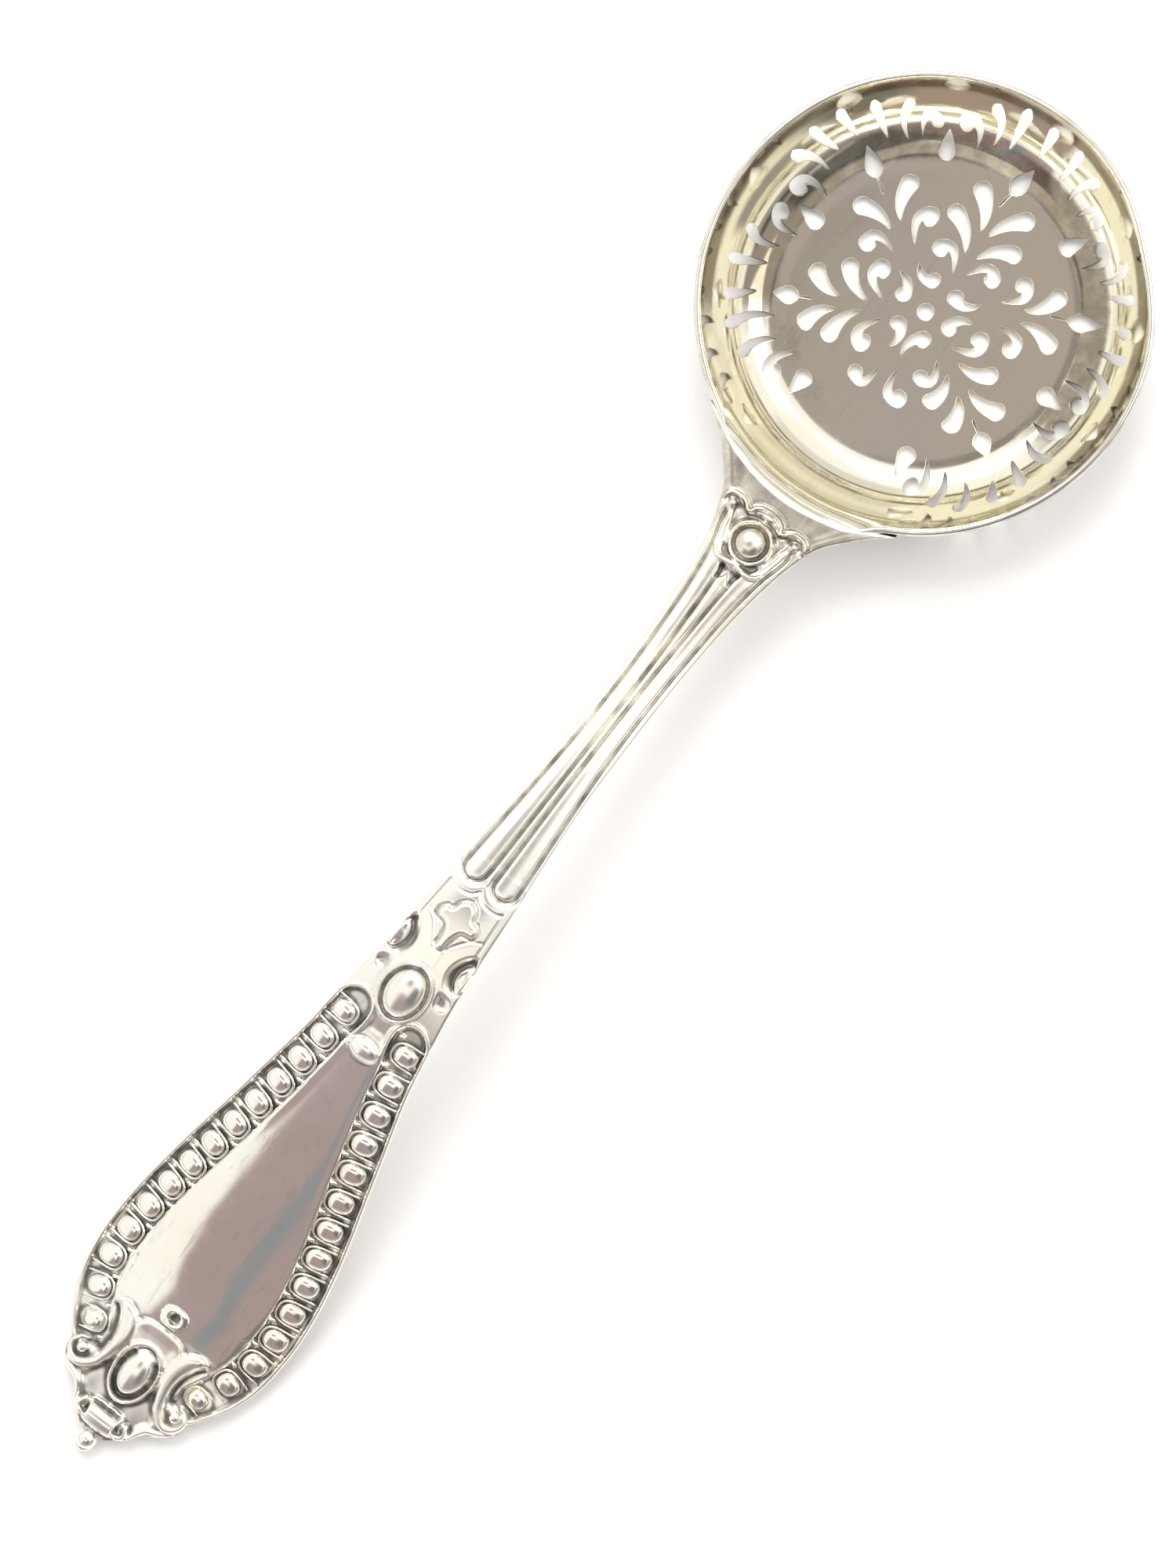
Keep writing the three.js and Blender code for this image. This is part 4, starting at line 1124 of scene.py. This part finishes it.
# Height of the struck face above upperFace(v), for places measured from the wandering middle line.
def reliefOf(x, v):
    side = np.abs(x)
    share = side / halfWidth(v)
    panelled = ramp(v, 92, 96.5) * (1 - ramp(v, 137, 141))
    onPanel = ramp(eggCentre(v) - border["panelSide"] - side, -0.2, 1.2)
    sway = np.interp(v, *handle["panelSway"])
    swell = -handle["panelCrown"] * ((x - sway * onPanel) ** 2 - (sway * onPanel) ** 2)
    result = -0.42 * share**2.2 * (1 - panelled) + swell * panelled
    result = result + stemRelief(x, v)
    for start, end, part in ((25, 36, capRelief), (74, 98.5, neckRelief), (132.5, 151, crestRelief)):
        here = (v > start) & (v < end)
        if here.any():
            result[here] += part(x[here], v[here])
    lipped = ramp(v, 89.5, 91) * (1 - ramp(v, 94.5, 97))
    lip = 0.22 * bell(channelInset(x, v) + 0.26, 0.15) * lipped
    return result + lip - handle["channelDepth"] * channelShare(x, v) * (1 - ramp(v, 142.2, 143.2))


def shoulder(x, v):  # dished between the two bands that run from the rim into the stem
    share = np.clip(np.abs(x) / halfWidth(v), 0, 1)
    dish = -0.08 * (1 - ramp(share, 0.6, 0.92)) * (1 - ramp(v, 25, 29))
    band = 0.08 * bell(share - 0.86, 0.09) * (1 - ramp(v, 25.5, 29))
    return dish + band


def sectionPlaces():
    return np.unique(np.concatenate([np.linspace(a, b, n, endpoint=False) for a, b, n in handle["sections"]]))


def columns(v):  # places across a section, from -1 to 1, closer at the border beside the panel
    even = np.linspace(-1, 1, 105)
    width = halfWidth(v)
    band = np.clip(1 - 4.7 / np.maximum(width, 6), 0.2, 0.7)
    inner = np.linspace(-1, 1, 33)[1:-1]
    outer = np.linspace(0, 1, 37)
    dense = np.concatenate([-1 + (1 - band) * outer, inner * band, band + (1 - band) * outer])
    share = ramp(v, 97, 103) * (1 - ramp(v, 131, 134.5))
    return even * (1 - share) + dense * share


def smoothed(z):  # takes the harshness off creases, across the grid and then along it
    for _ in range(2):
        z = np.concatenate([z[:, :1], (z[:, :-2] + 2 * z[:, 1:-1] + z[:, 2:]) / 4, z[:, -1:]], 1).T
    return z


def headSections():
    sections = []
    for distance in sectionPlaces():
        centre = handle["head"] + distance
        share = columns(centre)
        settle = float(1 - ramp(distance, 0, handle["headSettle"]))
        edge = centre - settle * handle["headDrop"]
        x = share * float(halfWidth(edge))
        reach = handle["head"] - 0.5 * share**2 * settle
        arc = 1 - np.sqrt(np.clip(1 - (x / reach) ** 2, 0, 1))
        bow = arc / arc[-1]
        sections.append(np.stack([x, centre - (centre - edge) * bow], 1))
    return np.array(sections)


def wallAt(height):  # radius of the bowl's wall, with room for the solder
    return np.interp(height, wallHeight, wallRadius) + handle["wallGap"]


def backHalf(x, v, z, side):  # places down one edge and across the back to the middle
    middle = x.shape[1] // 2
    under = upperFace(v[:, middle]) - thickness(v[:, middle])
    settle = (1 - ramp(sectionPlaces(), 0, handle["headSettle"])) ** 2
    half = []
    for wide, low in handle["back"]:
        height = z[:, -1 if side > 0 else 0] * (1 - low) + under * low
        along = v[:, middle] + (v[:, -1] - v[:, middle]) * wide**2
        # the head reaches in under the lip to the wall
        along = along - settle * low * (handle["head"] - wallAt(height))
        half.append(np.stack([side * x[:, -1] * wide, along, height], 1))
    return half


def closingRings(first):  # smaller rings that close the head against the bowl's wall
    rings = []
    for share in (0.3, 0.65):
        shrunk = first.mean(0) + (first - first.mean(0)) * share
        turn = np.arctan2(shrunk[:, 0], shrunk[:, 1])
        radius = np.maximum(np.hypot(shrunk[:, 0], shrunk[:, 1]), wallAt(shrunk[:, 2]))
        rings.append(np.stack([radius * np.sin(turn), radius * np.cos(turn), shrunk[:, 2]], 1))
    return rings


def handlePiece():
    plan = headSections()
    x, v = plan[:, :, 0], plan[:, :, 1]
    z = smoothed(upperFace(v) + reliefOf(x, v) + shoulder(x, v))
    # the head's edge lies down on the bowl's lip
    toBowl = np.hypot(x, v) - handle["head"] + 0.5 * (np.abs(x) / 11) ** 2
    z = z - 0.10 * (1 - ramp(toBowl, 0, 0.5))
    toEdge = np.clip(halfWidth(v) - np.abs(x), 0, None)
    soft = handle["edgeRound"]
    z = z - soft * (1 - roundTop(np.clip(1 - toEdge / soft, 0, 1)))
    across = x.shape[1]
    face = [np.stack([x[:, k], v[:, k], z[:, k]], 1) for k in range(across)]
    grid = np.stack(face + backHalf(x, v, z, 1) + backHalf(x, v, z, -1)[:-1][::-1], 1)
    closing = closingRings(grid[0])
    grid = np.concatenate([closing, grid])
    grid[:, :, 0] += wander(grid[:, :, 1])
    places = np.stack([grid[:, :, 0], bowlY - grid[:, :, 1], grid[:, :, 2]], 2)
    headEdge = np.vstack([places[len(closing), across - 1 :], places[len(closing), :1]])
    count, around = places.shape[:2]
    faces = ringFaces(count, around)
    points = places.reshape(-1, 3)
    for row, turn in ((0, -1), (count - 1, 1)):  # a fan of faces over each end
        start, middlePoint = row * around, len(points)
        points = np.vstack([points, places[row].mean(0)])
        faces += [(start + k, start + (k + 1) % around, middlePoint)[::turn] for k in range(around)]
    piece = makeMesh("struckHandle", points * mm, faces)
    index = (np.arange(len(closing), count)[:, None] * around + np.arange(across)[None]).ravel()
    # painted brown reflection over the cap and shoulder, fading along the stem, and light wear along the
    # whole handle
    shoulderReflectionAndWear = 0.36 * (1 - ramp(v, 28, 38)) * ramp(toBowl, 0.2, 0.5) + 0.14
    capGilt = 0.5 * (1 - ramp(v, 27, 36))  # thin gilt left on the cap
    for name, values, plain in (
        ("hollow", hollowOf(x, v), 0.0),
        ("satin", satinOf(x, v), 1.0),
        ("wearAndPaintedReflection", shoulderReflectionAndWear, 0.0),
        ("gilding", np.maximum(1 - ramp(toBowl, 0.05, 0.35), capGilt), 0.0),
    ):
        flat = np.full(len(points), plain)
        flat[index] = values.ravel()
        setAttribute(piece, name, flat)
    piece.data.materials.append(silverFinish)
    return piece, headEdge


def satinOf(x, v):  # only the panel keeps its mirror polish
    across = ramp(eggCentre(v) - border["panelSide"] - np.abs(x), -0.3, 0.1)
    return 1 - across * ramp(v, 96.4, 97.2) * (1 - ramp(v, 135.5, 136))


# How far each place lies below its surroundings, from 0 to 1, for the tarnish.
def hollowOf(x, v):
    step = 0.16
    across = np.arange(-13, 13 + step, step)
    along = np.arange(20, 153, step)
    gx, gv = np.meshgrid(across, along)
    held = np.clip(gx, -halfWidth(gv), halfWidth(gv))
    field = over(reliefOf(held, gv), eggField(held, gv))

    def blur(values, reach):
        kernel = np.ones(2 * reach + 1) / (2 * reach + 1)
        for axis in (0, 1):
            padded = np.pad(values, [(reach, reach) if axis == a else (0, 0) for a in (0, 1)], "edge")
            values = np.apply_along_axis(lambda line: np.convolve(line, kernel, "valid"), axis, padded)
        return values

    below = np.clip(blur(blur(field, 3), 2) - field, 0, None)
    share = blur(np.clip(below / 0.165, 0, 1), 1)
    i = np.clip((v - along[0]) / step, 0, len(along) - 1.001)
    j = np.clip((x - across[0]) / step, 0, len(across) - 1.001)
    i0, j0 = i.astype(int), j.astype(int)
    fi, fj = i - i0, j - j0
    upper = share[i0, j0] * (1 - fj) + share[i0, j0 + 1] * fj
    lower = share[i0 + 1, j0] * (1 - fj) + share[i0 + 1, j0 + 1] * fj
    inChannel = 0.45 * channelShare(x, v) * (1 - ramp(v, 142.2, 143.2))
    result = np.maximum(upper * (1 - fi) + lower * fi, inChannel)

    def corner(share, cx, cv, rx, rv):  # a flat place that no cloth reaches
        return share * np.exp(-(((np.abs(x) - cx) / rx) ** 2) - ((v - cv) / rv) ** 2)

    corners = (0.5, 3.5, 87.4, 0.8, 1.3), (0.45, 0, 93.4, 0.8, 1.2), (0.5, 3.0, 146.2, 1.1, 1.7)
    return np.maximum(result, sum(corner(*values) for values in corners))


def eggField(x, v):  # rough relief of the eggs, for the tarnish around them
    result = np.zeros(x.shape)
    for at in np.linspace(border["path"][0][0], border["path"][-1][0], border["eggs"]):
        cx = float(eggCentre(at))
        near = (np.abs(v - at) < 2) & (np.abs(np.abs(x) - cx) < 2.2)
        egg = dome(np.abs(x[near]), v[near], cx, at, border["eggWide"], border["eggLong"], 0.3)
        result[near] = np.maximum(result[near], egg)
    return result


handleObject, headEdge = handlePiece()
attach(handleObject, "root")
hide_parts("handle")
print("handle struck:", len(handleObject.data.polygons), "faces")


def signedPower(value, power):
    return math.copysign(abs(value) ** power, value)


# One egg with its arch and leaf tip. Across is X with the outer edge at +X, and the border runs along Y.
def eggTile(pitch):
    points, faces, hollow = [], [], []

    def addTube(rings, dirt):
        faces.extend(tubeFaces(len(rings), len(rings[0]), len(points)))
        for row, shade in zip(rings, dirt):
            points.extend(row)
            hollow.extend([shade] * len(row))

    square = [(signedPower(math.cos(a), 0.8), signedPower(math.sin(a), 0.8)) for a in evenTurns(30)]
    rings, dirt = [], []
    for lift in border["eggLifts"]:
        shrink = 0.82 if lift < 0 else (1 - lift**2) ** 0.33
        lean = -0.06 * max(lift, 0)  # the top leans to the inner side
        wide, long, high = border["eggWide"] * shrink, border["eggLong"] * shrink, border["eggHeight"] * lift
        rings.append([(wide * x + lean, long * y, high) for x, y in square])
        dirt.append(0.8 * float(1 - ramp(lift, 0.0, 0.22)))
    addTube(rings, dirt)

    reachX = border["eggWide"] + border["archGap"]
    reachY = border["eggLong"] + 0.24
    path = [(1.65, reachY + 0.02, 0.24), (0.9, reachY, 0.22), (0.35, reachY, 0.2)]
    for a in np.linspace(0.12, math.pi - 0.12, 15):
        out, on = math.sin(a) ** 0.75, signedPower(math.cos(a), 0.75)
        path.append((0.3 - (reachX + 0.3) * out, reachY * on, 0.2))
    path += [(x, -y, z) for x, y, z in path[2::-1]]
    path = np.array(path)
    along = unit(np.gradient(path, axis=0))
    circle = evenTurns(10)
    tall = np.where(np.sin(circle) > 0, 1.2, 1.5) * np.sin(circle)
    rings = []
    for place, ahead in zip(path, along):
        side = np.cross((0, 0, 1), ahead)
        rings.append([tuple(place + border["arch"] * (side * math.cos(a) + np.array([0, 0, t])))
                      for a, t in zip(circle, tall)])
    addTube(rings, [0.0] * len(rings))

    # leaf tip between two arches, at the panel's side
    rings = []
    for share in np.linspace(0, 1, 8):
        wide = 0.30 * (math.sin(math.pi * min(0.2 + 0.8 * share, 0.995)) ** 0.8)
        high = 0.20 + 0.16 * math.sin(math.pi * share)
        rings.append([(-1.15 - 1.0 * share, pitch / 2 + wide * math.cos(a),
                       (high if math.sin(a) > 0 else 0.34) * math.sin(a)) for a in circle[::-1]])
    addTube(rings, [0.05] * len(rings))
    tile = makeMesh("eggTile", np.array(points) * mm, faces)
    setAttribute(tile, "hollow", hollow)
    setAttribute(tile, "satin", [0.35] * len(points))
    return tile


def borderPlaces(add, given, named):  # even steps along both channels, each turned outward and upright
    curve = add("GeometryNodeMeshToCurve", {0: given["Geometry"]})
    even = add("GeometryNodeResampleCurve", {"Curve": curve.outputs[0], "Count": given["Eggs"]}, mode="COUNT")
    upright = add("FunctionNodeAlignRotationToVector", {"Vector": named("up")}, axis="Z")
    outward = {"Rotation": upright.outputs[0], "Vector": named("outward")}
    turned = add("FunctionNodeAlignRotationToVector", outward, axis="X", pivot_axis="Z")
    return even.outputs[0], turned.outputs[0]


def borderPiece():
    start, end = border["path"][0][0], border["path"][-1][0]
    heights = upperFace(eggLine[:, 0])
    flat = np.hypot(np.diff(eggLine[:, 0]), np.diff(eggLine[:, 1]))
    length = float(np.sum(np.hypot(flat, np.diff(heights))))
    tile = eggTile(length / (border["eggs"] - 1))
    crown = handle["panelCrown"]
    places, edges, ups, outs, sizes = [], [], [], [], []
    for side in (1, -1):
        first = len(places)
        line = eggLine[::side]  # the sides run opposite ways, so the tile is turned and not mirrored
        edges += [(first + k - 1, first + k) for k in range(1, len(line))]
        for v, x in line:
            slope = float(upperFace(v + 0.5) - upperFace(v - 0.5))
            lean = float(eggCentre(min(v + 0.5, end)) - eggCentre(max(v - 0.5, start)))
            z = float(upperFace(v)) - crown * x * x - handle["channelDepth"] + border["lift"]
            places.append(((side * x + float(wander(v))) * mm, (bowlY - v) * mm, z * mm))
            ups.append((2 * crown * x * side, slope, 1))
            outs.append((side, lean, 0))
            narrow = float(1 - 0.1 * (1 - ramp(v, 94, 100)) - 0.16 * ramp(v, 135.5, end))
            sizes.append((narrow, narrow, 1.0))
    mesh = bpy.data.meshes.new("borderPath")
    mesh.from_pydata(places, edges, [])
    rail = bpy.data.objects.new("ovoloBorder", mesh)
    bpy.context.scene.collection.objects.link(rail)
    for name, values in (("up", ups), ("outward", outs), ("size", sizes)):
        setAttribute(rail, name, values, "FLOAT_VECTOR")
    tree = setterTree("ovolo border", "Tile", [("Eggs", "Int")], borderPlaces)
    step = rail.modifiers.new("border", "NODES")
    setGroup(step, tree, Tile=tile, Eggs=border["eggs"], Metal=silverFinish)
    rail.data = evaluated(rail, "ovoloBorder")
    rail.modifiers.clear()
    bpy.data.objects.remove(tile)
    return rail


borderObject = borderPiece()
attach(borderObject, "root")
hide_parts("handle")
print("border set:", len(borderObject.data.polygons), "faces")


# Ball at the end of the handle, on a short spreading neck.

ball = {
    "radius": 1.2,
    "centre": 151.45,
    "height": 1.65,
    "tip": (1.12, 1.3, 0.75),  # half sizes of the flattened tip that the ball sits on
    "tipShift": (0, -0.5, -0.45),
    "around": 32,  # faces round it and up it
    "rise": 18,
}


def endBall():
    around, rise, size = ball["around"], ball["rise"], ball["radius"]
    centre = np.array([0, bowlY - ball["centre"], ball["height"]])
    points = []
    for i in range(rise + 1):
        level = math.pi * (0.02 + 0.96 * i / rise) - math.pi / 2
        radius = size * math.cos(level)
        for k in range(around):
            turn = 2 * math.pi * k / around
            points.append(centre + [radius * math.cos(turn), radius * math.sin(turn), size * math.sin(level)])
    faces = tubeFaces(rise + 1, around) + tubeFaces(rise + 1, around, len(points))
    tip = (np.array(points) - centre) / size * ball["tip"] + (centre + ball["tipShift"])
    piece = makeMesh("endBall", np.array([*points, *tip]) * mm, faces)
    setAttribute(piece, "satin", [1.0] * len(piece.data.vertices))
    piece.data.materials.append(silverFinish)
    return piece


ballObject = endBall()
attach(ballObject, "root")
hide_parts("handle")

# Solder: a smooth fillet that fills the corner between the bowl's wall and the back of the handle's head.

seam = {
    "least": 0.2,  # radii of the fillet at its thinnest, thickest and ends
    "most": 0.5,
    "ends": 0.1,
    "taper": 2.5,  # length over which its ends thin out
    "sides": 14,  # faces round it and along it
    "steps": 72,
}


def solderFillet(edge):
    step = runningSum(np.linalg.norm(np.diff(edge, axis=0), axis=1))
    even = np.linspace(0, step[-1], seam["steps"])
    line = np.stack([np.interp(even, step, edge[:, k]) for k in range(3)], 1)
    for _ in range(4):
        line[1:-1] = (line[:-2] + 2 * line[1:-1] + line[2:]) / 4
    outward = line[:, :2] - (0, bowlY)
    far = np.linalg.norm(outward, axis=1)
    outward = np.column_stack([outward / far[:, None], np.zeros(len(line))])
    gap = np.clip(far - np.interp(line[:, 2], wallHeight, wallRadius), 0, 2 * seam["most"])
    line = line - outward * (gap / 2)[:, None]
    thick = np.clip(gap / 2 + seam["least"], seam["least"], seam["most"])
    taper = ramp(np.minimum(even, even[-1] - even) / seam["taper"], 0, 1)
    thick = seam["ends"] + (thick - seam["ends"]) * taper
    across = np.cross(unit(np.gradient(line, axis=0)), outward)
    points, sides = [], seam["sides"]
    for place, out, side, radius in zip(line, outward, across, thick):
        for k in range(sides):
            turn = 2 * math.pi * k / sides
            points.append(place + radius * (math.cos(turn) * out + math.sin(turn) * side))
    piece = makeMesh("solderFillet", np.array(points) * mm, tubeFaces(len(line), sides))
    solid = bmesh.new()
    solid.from_mesh(piece.data)
    bmesh.ops.recalc_face_normals(solid, faces=solid.faces)
    solid.to_mesh(piece.data)
    solid.free()
    piece.data.materials.append(solderFinish)
    return piece


filletObject = solderFillet(headEdge)
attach(filletObject, "root")
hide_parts("solder_seam")
print("ball set, fillet run round the joint")
